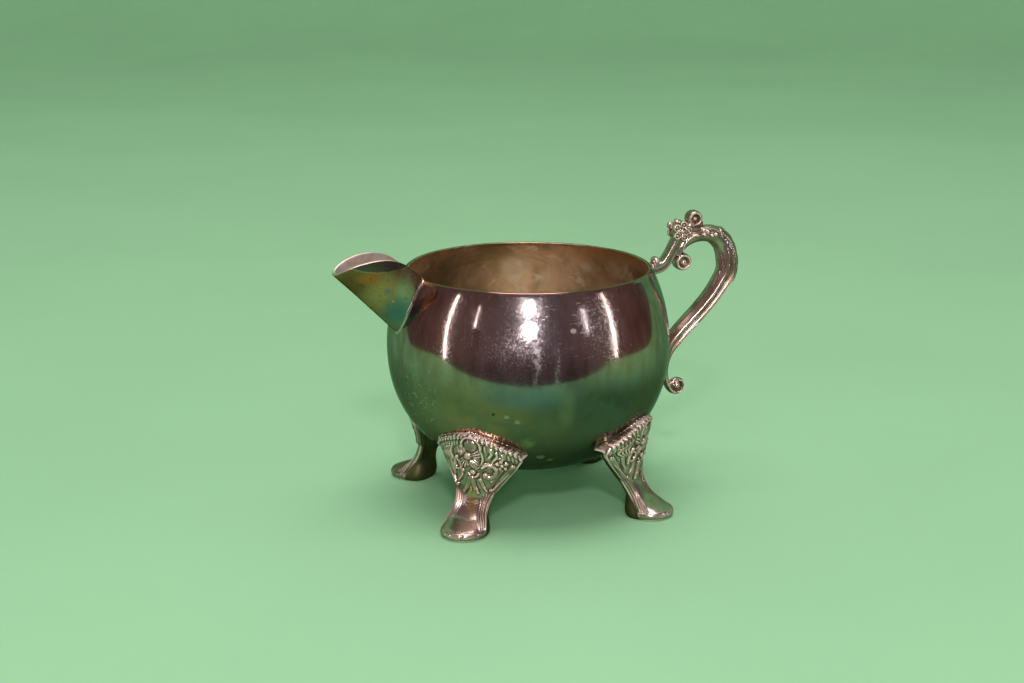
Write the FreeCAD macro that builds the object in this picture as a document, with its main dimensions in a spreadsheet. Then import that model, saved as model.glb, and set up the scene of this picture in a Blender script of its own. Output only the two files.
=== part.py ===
"""Footed silver-plated cream jug.

A spun bowl stands on four cast scroll feet.  A bent sheet spout and a cast scroll handle are
soldered to its wall.  Shapes are drawn about the bowl's axis, with +Z up and +X to the handle.
Finished pieces are then set back, so that the origin is on the table under the middle of the
jug's length.  Lengths are millimetres.
"""
import FreeCAD, Part
import math
import os
import Sketcher

from FreeCAD import Placement, Rotation, Vector

DIMENSIONS = {
    # spun bowl
    "equator_radius": 44.0,
    "equator_height": 50.0,
    "rim_radius": 38.0,
    "rim_height": 74.1,
    "bottom_height": 11.7,
    "shoulder_arc": 49.0,
    "belly_arc": 34.0,
    "base_arc": 72.0,
    "wall_thickness": 0.9,
    # pouring mouth cut in the wall behind the spout
    "mouth_half_width": 5.2,
    "mouth_depth": 13.0,
    # bent sheet spout, drawn in its own plane and then turned about the bowl's axis
    "spout_turn": 5.65,
    "spout_slope": 44.5,
    "spout_half_width": 6.9,
    "spout_depth": 17.0,
    "spout_sheet": 0.9,
    "spout_tip_reach": 63.4,
    "spout_tip_height": 76.9,
    "spout_peak_reach": 49.8,
    "spout_peak_height": 81.3,
    "spout_root_reach": 37.4,
    # cast handle
    "rim_ball_radius": 1.7,
    "rosette_radius": 2.9,
    "thumb_scroll_radius": 2.45,
    "thumb_neck_radius": 1.9,
    "inner_volute_radius": 2.7,
    "tail_volute_radius": 2.7,
    # cast feet
    "foot_count": 4,
    "first_foot_angle": 45.0,
    "foot_peak_height": 30.2,
    "foot_shoulder_height": 24.0,
    "foot_shoulder_half_width": 15.6,
    # solder
    "solder_width": 0.8,
    # reach of the middle of the jug's length from the bowl's axis
    "length_middle": 3.6,
}

# Centre line of the handle's stem: reach from the bowl's axis, height, in-plane thickness, width
STEM = [
    (37.2, 70.6, 3.8, 4.8),
    (41.6, 70.6, 3.8, 4.6),
    (44.9, 71.9, 3.7, 4.6),
    (47.0, 75.1, 3.2, 4.6),
    (48.9, 78.6, 3.2, 4.9),
    (50.4, 81.8, 3.4, 5.2),
]

# Centre line of the handle's scroll, from the inner volute over the top and down to the tail
SCROLL = [
    (49.6, 74.4, 2.2, 4.4),
    (50.7, 77.1, 3.0, 4.8),
    (53.3, 79.6, 4.2, 5.6),
    (57.2, 80.8, 5.0, 6.2),
    (61.4, 80.3, 5.9, 6.4),
    (64.9, 77.3, 6.5, 6.8),
    (66.5, 72.8, 6.9, 7.0),
    (66.5, 68.3, 6.7, 6.8),
    (64.5, 64.6, 6.2, 6.6),
    (61.6, 60.5, 5.7, 6.4),
    (57.8, 56.2, 5.6, 6.4),
    (53.6, 52.0, 5.6, 6.2),
    (49.7, 47.9, 5.5, 6.0),
    (47.0, 44.1, 4.8, 5.4),
    (46.0, 40.4, 3.4, 4.6),
    (45.9, 36.4, 2.6, 4.0),
    (47.1, 32.6, 2.4, 4.0),
]

# Centres of the round ornaments on the handle: reach, height
RIM_BALL = (42.3, 73.0)
ROSETTE = (50.5, 82.4)
THUMB_SCROLL = (54.9, 85.9)
THUMB_NECK = (53.6, 83.2)
INNER_VOLUTE = (51.4, 72.1)
TAIL_VOLUTE = (50.1, 31.5)

# Level sections of a foot: height, half width, reach of its sides, of its front and of its back
FOOT_SECTIONS = [
    (0.0, 6.4, 41.6, 48.3, 35.6),
    (1.3, 7.1, 41.5, 49.1, 35.0),
    (2.8, 6.8, 41.0, 48.4, 34.8),
    (4.4, 6.1, 39.8, 45.7, 34.8),
    (6.4, 5.6, 38.4, 42.3, 34.9),
    (9.0, 5.6, 37.0, 39.8, 35.2),
    (12.0, 6.4, 35.8, 38.7, 35.4),
    (15.0, 8.0, 34.8, 38.7, 35.8),
    (18.5, 10.4, 33.9, 39.3, 36.6),
    (22.0, 12.9, 33.5, 39.9, 37.5),
    (25.4, 15.2, 34.0, 40.7, 38.5),
    (28.6, 16.2, 35.0, 41.3, 39.3),
    (32.0, 16.8, 36.2, 42.2, 40.3),
]

doc = FreeCAD.newDocument("cream_jug")
sheet = doc.addObject("Spreadsheet::Sheet", "Dims")
for row, (alias, value) in enumerate(DIMENSIONS.items(), start=1):
    sheet.set("A%d" % row, alias)
    sheet.set("B%d" % row, str(value))
    sheet.setAlias("B%d" % row, alias)
doc.recompute()


def dim(alias):
    """The value of one cell of the sheet."""
    return float(sheet.get(alias))


def origin_plane(body, role):
    """The body's own origin plane with this role."""
    return next(plane for plane in body.Origin.OriginFeatures if plane.Role == role)


def new_sketch(body, name, role):
    """A sketch of the body on one of its origin planes."""
    sketch = body.newObject("Sketcher::SketchObject", name)
    sketch.AttachmentSupport = [(origin_plane(body, role), "")]
    sketch.MapMode = "FlatFace"
    return sketch


def bind(sketch, constraint, expression):
    """Add one constraint and drive it from the sheet."""
    index = sketch.addConstraint(constraint)
    sketch.setExpression("Constraints[%d]" % index, expression)
    return index


def make_cut(label, base, tool):
    """Base without tool."""
    cut = doc.addObject("Part::Cut", label)
    cut.Base = base
    cut.Tool = tool
    cut.Label = label
    return cut


def settle(piece, angle=0.0):
    """Set a finished piece back from the bowl's axis and turn it about that axis."""
    piece.Placement = Placement(
        Vector(-dim("length_middle"), 0, 0), Rotation(Vector(0, 0, 1), angle))
    piece.setExpression("Placement.Base.x", "-Dims.length_middle")
    return piece


def make_feature(label, shape, angle=0.0):
    """A cast or flowed shape, settled at an angle about the bowl's axis."""
    feature = doc.addObject("Part::Feature", label)
    feature.Shape = shape
    feature.Label = label
    return settle(feature, angle)


# ---------------------------------------------------------------- bowl

UPPER_ARC = (
    "((Dims.equator_radius - Dims.rim_radius)^2 + (Dims.rim_height - Dims.equator_height)^2)"
    " / (2 * (Dims.equator_radius - Dims.rim_radius))"
)


def tangent_circle_centre():
    """Centre of the belly arc, which touches the shoulder arc and the base arc from inside."""
    shoulder_x = dim("equator_radius") - dim("shoulder_arc")
    shoulder_z = dim("equator_height")
    base_z = dim("bottom_height") + dim("base_arc")
    to_shoulder = dim("shoulder_arc") - dim("belly_arc")
    to_base = dim("base_arc") - dim("belly_arc")
    span = math.hypot(shoulder_x, base_z - shoulder_z)
    along = (to_shoulder ** 2 - to_base ** 2 + span ** 2) / (2 * span)
    across = math.sqrt(to_shoulder ** 2 - along ** 2)
    unit_x = -shoulder_x / span
    unit_z = (base_z - shoulder_z) / span
    return shoulder_x + along * unit_x + across * unit_z, shoulder_z + along * unit_z - across * unit_x


def bowl_form(name, growth, growth_cell, top):
    """Solid of revolution with the bowl's outline, grown by one of the sheet's thicknesses."""
    body = doc.addObject("PartDesign::Body", name)
    sketch = new_sketch(body, name + "_profile", "XZ_Plane")
    equator = dim("equator_radius") + growth
    middle = dim("equator_height")
    bottom = dim("bottom_height") - growth
    upper_radius = equator - growth - dim("rim_radius")
    upper_radius = (upper_radius ** 2 + (dim("rim_height") - middle) ** 2) / (2 * upper_radius)
    upper_radius += growth
    shoulder = dim("shoulder_arc") + growth
    belly = dim("belly_arc") + growth
    base = dim("base_arc") + growth
    belly_x, belly_z = tangent_circle_centre()
    base_z = bottom + base
    shoulder_end = math.atan2(belly_z - middle, belly_x - (equator - shoulder))
    belly_end = math.atan2(belly_z - base_z, belly_x)
    top_angle = math.asin((top - middle) / upper_radius)
    top_x = equator - upper_radius + upper_radius * math.cos(top_angle)

    def arc(centre_x, centre_z, radius, start, end):
        circle = Part.Circle(Vector(centre_x, centre_z, 0), Vector(0, 0, 1), radius)
        return sketch.addGeometry(Part.ArcOfCircle(circle, start, end))

    upper_arc = arc(equator - upper_radius, middle, upper_radius, 0.0, top_angle)
    shoulder_arc = arc(equator - shoulder, middle, shoulder, shoulder_end, 0.0)
    belly_arc = arc(belly_x, belly_z, belly, belly_end, shoulder_end)
    base_arc = arc(0.0, base_z, base, -math.pi / 2, belly_end)
    top_line = sketch.addGeometry(Part.LineSegment(Vector(top_x, top, 0), Vector(0, top, 0)))
    axis_line = sketch.addGeometry(Part.LineSegment(Vector(0, top, 0), Vector(0, bottom, 0)))

    make = Sketcher.Constraint
    start, end, centre = 1, 2, 3
    origin, vertical = -1, -2
    grown = " + " + growth_cell if growth > 0 else (" - " + growth_cell if growth < 0 else "")
    shrunk = " - " + growth_cell if growth > 0 else (" + " + growth_cell if growth < 0 else "")
    sketch.addConstraint([
        make("Tangent", upper_arc, start, shoulder_arc, end),
        make("Tangent", shoulder_arc, start, belly_arc, end),
        make("Tangent", belly_arc, start, base_arc, end),
        make("Coincident", upper_arc, end, top_line, start),
        make("Coincident", top_line, end, axis_line, start),
        make("Coincident", axis_line, end, base_arc, start),
        make("Horizontal", top_line),
        make("PointOnObject", top_line, end, vertical),
        make("PointOnObject", base_arc, start, vertical),
        make("PointOnObject", base_arc, centre, vertical),
    ])
    bind(sketch, make("DistanceX", origin, start, upper_arc, start, equator),
         "Dims.equator_radius" + grown)
    bind(sketch, make("DistanceY", origin, start, upper_arc, centre, middle), "Dims.equator_height")
    bind(sketch, make("DistanceY", origin, start, shoulder_arc, centre, middle),
         "Dims.equator_height")
    bind(sketch, make("Radius", upper_arc, upper_radius), UPPER_ARC + grown)
    bind(sketch, make("Radius", shoulder_arc, shoulder), "Dims.shoulder_arc" + grown)
    bind(sketch, make("Radius", belly_arc, belly), "Dims.belly_arc" + grown)
    bind(sketch, make("Radius", base_arc, base), "Dims.base_arc" + grown)
    bind(sketch, make("DistanceY", origin, start, base_arc, start, bottom),
         "Dims.bottom_height" + shrunk)
    extra = top - dim("rim_height")
    bind(sketch, make("DistanceY", origin, start, top_line, start, top),
         "Dims.rim_height + %g" % extra if extra else "Dims.rim_height")
    revolution = body.newObject("PartDesign::Revolution", name + "_spun")
    revolution.Profile = sketch
    revolution.ReferenceAxis = (sketch, ["V_Axis"])
    revolution.Angle = 360.0
    doc.recompute()
    return body


CAVITY_OVERRUN = 2.0
bowl_outside = bowl_form("bowl_outside", 0.0, "", dim("rim_height"))
bowl_inside = bowl_form(
    "bowl_inside", -dim("wall_thickness"), "Dims.wall_thickness", dim("rim_height") + CAVITY_OVERRUN)
solder_limit = bowl_form(
    "solder_limit", dim("solder_width"), "Dims.solder_width", dim("rim_height"))


def ellipse_prism(name, major, minor, placement, direction, length):
    """An elliptical bar whose section is driven from the sheet."""
    section = doc.addObject("Part::Ellipse", name + "_section")
    section.setExpression("MajorRadius", major)
    section.setExpression("MinorRadius", minor)
    section.Placement = placement
    bar = doc.addObject("Part::Extrusion", name)
    bar.Base = section
    bar.DirMode = "Custom"
    bar.Dir = direction
    bar.LengthFwd = length
    bar.Solid = True
    return bar


MOUTH_LENGTH = 60.0
mouth_centre = Placement(Vector(0, 0, dim("rim_height")), Rotation(Vector(0, 1, 0), -90))
mouth_cutter = ellipse_prism(
    "mouth_cutter", "Dims.mouth_depth", "Dims.mouth_half_width", mouth_centre,
    Vector(-1, 0, 0), MOUTH_LENGTH)
spout_turn = Placement(Vector(0, 0, 0), Rotation(Vector(0, 0, 1), dim("spout_turn")))
mouth_cutter.Placement = spout_turn.multiply(mouth_cutter.Placement)
bowl_shell = make_cut("bowl_shell", bowl_outside, bowl_inside)
bowl = settle(make_cut("bowl", bowl_shell, mouth_cutter))


# ---------------------------------------------------------------- spout

TROUGH_LENGTH = 46.0
TROUGH_OVERRUN = 6.0
ARCH_INNER_END = 28.0
ARCH_BOTTOM = 45.0
ARCH_OVERRUN = 2.6
ARCH_HALF_WIDTH = 20.0

slope = math.radians(dim("spout_slope"))
keel_direction = Vector(-math.cos(slope), 0, math.sin(slope))
depth_direction = Vector(math.sin(slope), 0, math.cos(slope))
spout_tip = Vector(-dim("spout_tip_reach"), 0, dim("spout_tip_height"))
trough_start = spout_tip - keel_direction * TROUGH_LENGTH + depth_direction * dim("spout_depth")
trough_placement = Placement(trough_start, Rotation(Vector(0, 1, 0), dim("spout_slope") - 90))


def trough(name, growth):
    """Bar with the trough's outer section, grown or shrunk by an expression."""
    return ellipse_prism(
        name, "Dims.spout_depth" + growth, "Dims.spout_half_width" + growth,
        trough_placement, keel_direction, TROUGH_LENGTH + TROUGH_OVERRUN)


def arch_prism():
    """Everything under the spout's arched top edge."""
    body = doc.addObject("PartDesign::Body", "spout_arch")
    sketch = new_sketch(body, "spout_arch_profile", "XZ_Plane")
    peak_x = -dim("spout_peak_reach")
    peak_z = dim("spout_peak_height")
    rim_z = dim("rim_height")
    front_x = -dim("spout_tip_reach") - ARCH_OVERRUN
    front_run = dim("spout_tip_reach") - dim("spout_peak_reach")
    front_fall = peak_z - dim("spout_tip_height")
    front_radius = (front_run ** 2 + front_fall ** 2) / (2 * front_fall)
    back_run = dim("spout_peak_reach") - dim("spout_root_reach")
    back_fall = peak_z - rim_z
    back_radius = (back_run ** 2 + back_fall ** 2) / (2 * back_fall)
    front_end = math.acos((front_x - peak_x) / front_radius)
    back_end = math.acos(back_run / back_radius)
    front_z = peak_z - front_radius + front_radius * math.sin(front_end)
    root_x = -dim("spout_root_reach")
    inner_x = -ARCH_INNER_END

    def arc(centre_z, radius, first, last):
        circle = Part.Circle(Vector(peak_x, centre_z, 0), Vector(0, 0, 1), radius)
        return sketch.addGeometry(Part.ArcOfCircle(circle, first, last))

    def line(x1, z1, x2, z2):
        return sketch.addGeometry(Part.LineSegment(Vector(x1, z1, 0), Vector(x2, z2, 0)))

    front = arc(peak_z - front_radius, front_radius, math.pi / 2, front_end)
    back = arc(peak_z - back_radius, back_radius, back_end, math.pi / 2)
    rim = line(root_x, rim_z, inner_x, rim_z)
    inner = line(inner_x, rim_z, inner_x, ARCH_BOTTOM)
    bottom = line(inner_x, ARCH_BOTTOM, front_x, ARCH_BOTTOM)
    outer = line(front_x, ARCH_BOTTOM, front_x, front_z)
    make = Sketcher.Constraint
    start, end, centre, origin = 1, 2, 3, -1
    sketch.addConstraint([
        make("Tangent", front, start, back, end),
        make("Coincident", back, start, rim, start),
        make("Coincident", rim, end, inner, start),
        make("Coincident", inner, end, bottom, start),
        make("Coincident", bottom, end, outer, start),
        make("Coincident", outer, end, front, end),
        make("Horizontal", rim),
        make("Vertical", inner),
        make("Horizontal", bottom),
        make("Vertical", outer),
        make("DistanceX", inner, start, origin, start, ARCH_INNER_END),
        make("DistanceY", origin, start, bottom, start, ARCH_BOTTOM),
    ])
    front_size = (
        "((Dims.spout_tip_reach - Dims.spout_peak_reach)^2"
        " + (Dims.spout_peak_height - Dims.spout_tip_height)^2)"
        " / (2 * (Dims.spout_peak_height - Dims.spout_tip_height))")
    back_size = (
        "((Dims.spout_peak_reach - Dims.spout_root_reach)^2"
        " + (Dims.spout_peak_height - Dims.rim_height)^2)"
        " / (2 * (Dims.spout_peak_height - Dims.rim_height))")
    bind(sketch, make("DistanceX", front, centre, origin, start, -peak_x), "Dims.spout_peak_reach")
    bind(sketch, make("DistanceX", front, start, origin, start, -peak_x), "Dims.spout_peak_reach")
    bind(sketch, make("DistanceY", origin, start, front, start, peak_z), "Dims.spout_peak_height")
    bind(sketch, make("Radius", front, front_radius), front_size)
    bind(sketch, make("Radius", back, back_radius), back_size)
    bind(sketch, make("DistanceY", origin, start, back, start, rim_z), "Dims.rim_height")
    bind(sketch, make("DistanceX", outer, start, origin, start, -front_x),
         "Dims.spout_tip_reach + %g" % ARCH_OVERRUN)
    pad = body.newObject("PartDesign::Pad", "spout_arch_pad")
    pad.Profile = sketch
    pad.Length = 2 * ARCH_HALF_WIDTH
    pad.Midplane = True
    return body


def spout_piece(label, solid_bar, hollow_bar, limit):
    """A thin-walled length of trough under the arch, cut to the bowl's outside."""
    wall = make_cut(label + "_wall", solid_bar, hollow_bar)
    trimmed = doc.addObject("Part::Common", label + "_trimmed")
    trimmed.Base = wall
    trimmed.Tool = limit
    return settle(make_cut(label, trimmed, bowl_outside), dim("spout_turn"))


arch = arch_prism()
trough_outside = trough("trough_outside", "")
spout = spout_piece("spout", trough_outside, trough("trough_inside", " - Dims.spout_sheet"), arch)
seam_limit = doc.addObject("Part::Common", "seam_limit")
seam_limit.Base = arch
seam_limit.Tool = solder_limit
spout_seam_solder = spout_piece(
    "spout_seam_solder", trough("seam_outside", " + Dims.solder_width"), trough_outside, seam_limit)
doc.recompute()


# ---------------------------------------------------------------- handle

def station_frames(stations):
    """Centre, in-plane normal and sizes at each station of a centre line in the XZ plane."""
    frames = []
    for index, (reach, height, thickness, width) in enumerate(stations):
        before = stations[max(index - 1, 0)]
        after = stations[min(index + 1, len(stations) - 1)]
        tangent = Vector(after[0] - before[0], 0, after[1] - before[1]).normalize()
        normal = Vector(-tangent.z, 0, tangent.x)
        frames.append((Vector(reach, 0, height), normal, thickness, width))
    return frames


def elliptic_loft(stations):
    """A smooth bar through elliptical sections square to its centre line."""
    wires = []
    for centre, normal, thickness, width in station_frames(stations):
        side = centre + Vector(0, width / 2, 0)
        outer = centre + normal * (thickness / 2)
        wires.append(Part.Wire(Part.Ellipse(side, outer, centre).toShape()))
    return Part.makeLoft(wires, True, False)


EASED_SHARE = 0.4
ROSETTE_WIDTH = 6.4
THUMB_WIDTH = 5.2
NECK_WIDTH = 4.4
VOLUTE_WIDTH = 4.8
TAIL_WIDTH = 4.6


def cross_disc(centre, radius, width):
    """A round boss lying across the handle, its edges eased."""
    base = Vector(centre[0], -width / 2, centre[1])
    disc = Part.makeCylinder(radius, width, base, Vector(0, 1, 0))
    return disc.makeFillet(min(radius, width / 2) * EASED_SHARE, disc.Edges)


handle_shape = elliptic_loft(SCROLL).multiFuse([
    elliptic_loft(STEM),
    Part.makeSphere(dim("rim_ball_radius"), Vector(RIM_BALL[0], 0, RIM_BALL[1])),
    cross_disc(ROSETTE, dim("rosette_radius"), ROSETTE_WIDTH),
    cross_disc(THUMB_SCROLL, dim("thumb_scroll_radius"), THUMB_WIDTH),
    cross_disc(THUMB_NECK, dim("thumb_neck_radius"), NECK_WIDTH),
    cross_disc(INNER_VOLUTE, dim("inner_volute_radius"), VOLUTE_WIDTH),
    cross_disc(TAIL_VOLUTE, dim("tail_volute_radius"), TAIL_WIDTH),
])
handle_shape = handle_shape.cut(bowl_outside.Shape)
handle = make_feature("handle", handle_shape)


# ---------------------------------------------------------------- feet

SIDE_THICKNESS = 1.2
BACK_WIDTH_SHARE = 0.9
GABLE_WIDENING = 1.2
GABLE_LENGTH = 60.0
GABLE_BOTTOM = -1.0


def foot_section(height, half_width, side, front, back):
    """Closed outline of a foot at one height: bowed front, two short sides, hollowed back."""
    front_left = Vector(side, half_width, height)
    front_right = Vector(side, -half_width, height)
    back_left = Vector(side - SIDE_THICKNESS, BACK_WIDTH_SHARE * half_width, height)
    back_right = Vector(side - SIDE_THICKNESS, -BACK_WIDTH_SHARE * half_width, height)
    back_middle = Vector(back, 0, height)
    return Part.Wire([
        Part.Arc(front_right, Vector(front, 0, height), front_left).toShape(),
        Part.LineSegment(front_left, back_left).toShape(),
        Part.Arc(back_left, back_middle, back_right).toShape(),
        Part.LineSegment(back_right, front_right).toShape(),
    ])


def foot_gable():
    """Everything under the two sloping top edges of a foot's plate."""
    half_width = dim("foot_shoulder_half_width")
    fall = dim("foot_peak_height") - dim("foot_shoulder_height")
    reach = GABLE_WIDENING * half_width
    low = dim("foot_peak_height") - GABLE_WIDENING * fall
    corners = [
        Vector(0, 0, dim("foot_peak_height")),
        Vector(0, reach, low),
        Vector(0, reach, GABLE_BOTTOM),
        Vector(0, -reach, GABLE_BOTTOM),
        Vector(0, -reach, low),
    ]
    face = Part.Face(Part.makePolygon(corners + corners[:1]))
    return face.extrude(Vector(GABLE_LENGTH, 0, 0))


foot_shape = Part.makeLoft([foot_section(*row) for row in FOOT_SECTIONS], True, False)
foot_shape = foot_shape.common(foot_gable()).cut(bowl_outside.Shape)
foot_step = 360.0 / dim("foot_count")
feet = []
for number in range(int(dim("foot_count"))):
    angle = dim("first_foot_angle") + number * foot_step
    feet.append(make_feature("foot_%d" % (number + 1), foot_shape, angle))


# ---------------------------------------------------------------- solder

def solder_pool(low, axis, radius, length, piece):
    """A round pad of solder on the bowl's wall, open where the piece that it holds goes in."""
    pool = Part.makeCylinder(radius, length, low, axis).common(solder_limit.Shape)
    return pool.cut(bowl_outside.Shape).cut(piece)


OUTWARD = Vector(1, 0, 0)
POOL_LENGTH = 12.0
UPPER_POOL = (Vector(34.0, 0, 70.6), OUTWARD, 3.4, POOL_LENGTH)
LOWER_POOL = (Vector(36.0, 0, 45.8), OUTWARD, 3.6, POOL_LENGTH)
FOOT_POOL = (Vector(26.0, 0, 27.5), Vector(0.8, 0, -0.6), 5.0, POOL_LENGTH)
handle_upper_solder = make_feature("handle_upper_solder", solder_pool(*UPPER_POOL, handle_shape))
handle_lower_solder = make_feature("handle_lower_solder", solder_pool(*LOWER_POOL, handle_shape))
foot_solder_shape = solder_pool(*FOOT_POOL, foot_shape)
foot_solders = []
for number in range(int(dim("foot_count"))):
    angle = dim("first_foot_angle") + number * foot_step
    foot_solders.append(make_feature("foot_solder_%d" % (number + 1), foot_solder_shape, angle))

doc.recompute()

# ---------------------------------------------------------------- checks and files

for item in doc.Objects:
    if "Invalid" in item.State or "Error" in item.State:
        raise RuntimeError("%s failed: %s" % (item.Name, item.State))

pieces = [bowl, spout, spout_seam_solder, handle, handle_upper_solder, handle_lower_solder]
pieces += feet + foot_solders
os.makedirs("parts", exist_ok=True)
for piece in pieces:
    if piece.Shape.isNull() or not piece.Shape.isValid():
        raise RuntimeError("%s has no valid shape" % piece.Label)
for piece in pieces:
    piece.Shape.exportStep("parts/%s.step" % piece.Label)
    box = piece.Shape.optimalBoundingBox()
    print("%-22s %d solid(s) %8.1f mm3  x %.1f %.1f  y %.1f %.1f  z %.1f %.1f" % (
        piece.Label, len(piece.Shape.Solids), piece.Shape.Volume,
        box.XMin, box.XMax, box.YMin, box.YMax, box.ZMin, box.ZMax))
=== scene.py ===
"""Looks of the footed silver cream jug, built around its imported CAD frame.

Shapes are written in millimetres about the bowl's axis (+X to the handle, +Z up, the table at
zero). They are moved to the frame's origin and scaled to metres when a mesh is made.
"""
import math

import bmesh
import bpy
import numpy as np
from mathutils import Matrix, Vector


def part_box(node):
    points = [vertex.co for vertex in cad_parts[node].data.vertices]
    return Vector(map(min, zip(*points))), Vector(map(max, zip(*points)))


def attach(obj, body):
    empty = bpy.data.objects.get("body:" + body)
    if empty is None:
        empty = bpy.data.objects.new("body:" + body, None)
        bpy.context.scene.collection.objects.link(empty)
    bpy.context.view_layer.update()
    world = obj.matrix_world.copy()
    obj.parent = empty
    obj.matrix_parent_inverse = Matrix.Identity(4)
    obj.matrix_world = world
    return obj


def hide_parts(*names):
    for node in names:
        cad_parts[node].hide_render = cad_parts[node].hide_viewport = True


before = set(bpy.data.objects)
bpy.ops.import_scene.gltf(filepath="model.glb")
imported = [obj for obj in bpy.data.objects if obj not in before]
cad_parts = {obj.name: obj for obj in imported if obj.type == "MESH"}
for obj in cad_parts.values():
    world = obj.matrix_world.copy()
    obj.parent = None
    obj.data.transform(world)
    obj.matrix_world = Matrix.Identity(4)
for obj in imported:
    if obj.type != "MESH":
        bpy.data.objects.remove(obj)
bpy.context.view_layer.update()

MM = 0.001
BOWL_LOW, BOWL_HIGH = (np.array(corner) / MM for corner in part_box("bowl"))
AXIS = np.array([(BOWL_LOW[0] + BOWL_HIGH[0]) / 2, 0.0, 0.0])

# Bowl, as spun: arcs of its outline from the brim down
EQUATOR_RADIUS = 44.0
EQUATOR_HEIGHT = 50.0
RIM_RADIUS = 38.0
RIM_HEIGHT = BOWL_HIGH[2]
BOTTOM_HEIGHT = BOWL_LOW[2]
SHOULDER_ARC = 49.0
BELLY_ARC = 34.0
BASE_ARC = 72.0
WALL = 0.9

# Spout, a bent sheet trough in a plane turned a little off the handle's
SPOUT_TURN = math.radians(5.65)
SPOUT_SLOPE = math.radians(44.5)
SPOUT_HALF_WIDTH = 6.9
SPOUT_DEPTH = 17.0
SPOUT_SHEET = 0.9
SPOUT_TIP = (63.4, 76.9)
SPOUT_PEAK = (49.8, 81.3)
SPOUT_ROOT = 37.4

# Feet
FOOT_COUNT = 4
FIRST_FOOT_ANGLE = math.radians(45.0)

# ---------------------------------------------------------------- mesh helpers

def make_object(name, points, faces):
    """A smooth-shaded mesh object from points in millimetres."""
    mesh = bpy.data.meshes.new(name)
    mesh.from_pydata(((np.reshape(points, (-1, 3)) + AXIS) * MM).tolist(), [], faces)
    mesh.validate()
    mesh.update()
    piece = bpy.data.objects.new(name, mesh)
    bpy.context.scene.collection.objects.link(piece)
    mesh.polygons.foreach_set("use_smooth", np.ones(len(mesh.polygons), bool))
    return piece


def grid_faces(rows, cols, wrap_rows=False, wrap_cols=False, first=0):
    """Quads over a grid of points stored row by row."""
    row = np.arange(rows if wrap_rows else rows - 1)
    col = np.arange(cols if wrap_cols else cols - 1)
    r, c = np.meshgrid(row, col, indexing="ij")
    r2 = (r + 1) % rows
    c2 = (c + 1) % cols
    quads = np.stack([r * cols + c, r * cols + c2, r2 * cols + c2, r2 * cols + c], -1)
    return (quads.reshape(-1, 4) + first).tolist()


def evaluated_copy(piece, name):
    """Replace a piece by the mesh that its modifiers make."""
    depsgraph = bpy.context.evaluated_depsgraph_get()
    mesh = bpy.data.meshes.new_from_object(piece.evaluated_get(depsgraph))
    mesh.name = name
    old = piece.data
    piece.modifiers.clear()
    piece.data = mesh
    bpy.data.meshes.remove(old)
    return piece


def closed_piece(name, points, faces, sharp_above=None):
    """A mesh object with its faces turned outwards; edges above an angle in degrees stay sharp."""
    piece = make_object(name, points, faces)
    work = bmesh.new()
    work.from_mesh(piece.data)
    bmesh.ops.recalc_face_normals(work, faces=work.faces)
    work.to_mesh(piece.data)
    work.free()
    if sharp_above is not None:
        piece.data.set_sharp_from_angle(angle=math.radians(sharp_above))
    return piece


def closed_rings(rings, ends):
    """Points and faces of a bar: rings of points, closed by a fan to a point at either end."""
    count, around = rings.shape[:2]
    faces = grid_faces(count, around, wrap_cols=True)
    start, end = count * around, count * around + 1
    last_ring = start - around
    for k in range(around):
        after = (k + 1) % around
        faces.append([start, after, k])
        faces.append([end, last_ring + k, last_ring + after])
    return np.vstack([rings.reshape(-1, 3), ends]), faces


def capped_strip(rows):
    """Points and faces of a bar: lines of points along it, side by side round its section."""
    count, along = rows.shape[:2]
    faces = grid_faces(count, along, wrap_rows=True)
    for column in (0, along - 1):
        faces.append([r * along + column for r in range(count)])
    return rows, faces


def full_turn(count):
    """Evenly spaced angles once round."""
    return np.linspace(0, 2 * math.pi, count, endpoint=False)


def normalized(vectors):
    """Vectors scaled to unit length."""
    return vectors / np.linalg.norm(vectors, axis=-1, keepdims=True)


def around_axis(radius, angle, height):
    """Points at a radius, an angle and a height about the bowl's axis."""
    return np.stack(np.broadcast_arrays(radius * np.cos(angle), radius * np.sin(angle), height), -1)


def turn_about_z(points, angle):
    """Points turned about the bowl's axis."""
    cos, sin = math.cos(angle), math.sin(angle)
    x, y, z = points[..., 0], points[..., 1], points[..., 2]
    return np.stack([x * cos - y * sin, x * sin + y * cos, z], -1)


def smooth_wobble(points, wavelength, amplitude, seed):
    """Gentle random height in millimetres, the same on every run."""
    source = np.random.default_rng(seed)
    total = np.zeros(points.shape[:-1])
    waves = 14
    for _ in range(waves):
        direction = source.normal(size=3)
        direction /= np.linalg.norm(direction)
        length = wavelength * source.uniform(0.6, 1.7)
        total += np.sin(points @ direction * (2 * math.pi / length) + source.uniform(0, 2 * math.pi))
    return total * amplitude / math.sqrt(waves / 2)


def catmull_rom(stations, count):
    """Rows of a table interpolated smoothly, evenly in row number."""
    table = np.asarray(stations, float)
    padded = np.vstack([2 * table[0] - table[1], table, 2 * table[-1] - table[-2]])
    at = np.linspace(0, len(table) - 1, count)
    k = np.minimum(at.astype(int), len(table) - 2)
    u = (at - k)[:, None]
    p0, p1, p2, p3 = (padded[k + step] for step in range(4))
    return 0.5 * (2 * p1 + (p2 - p0) * u + (2 * p0 - 5 * p1 + 4 * p2 - p3) * u ** 2
                  + (3 * p1 - p0 - 3 * p2 + p3) * u ** 3)


DARK_CAVITY = -0.3


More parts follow.
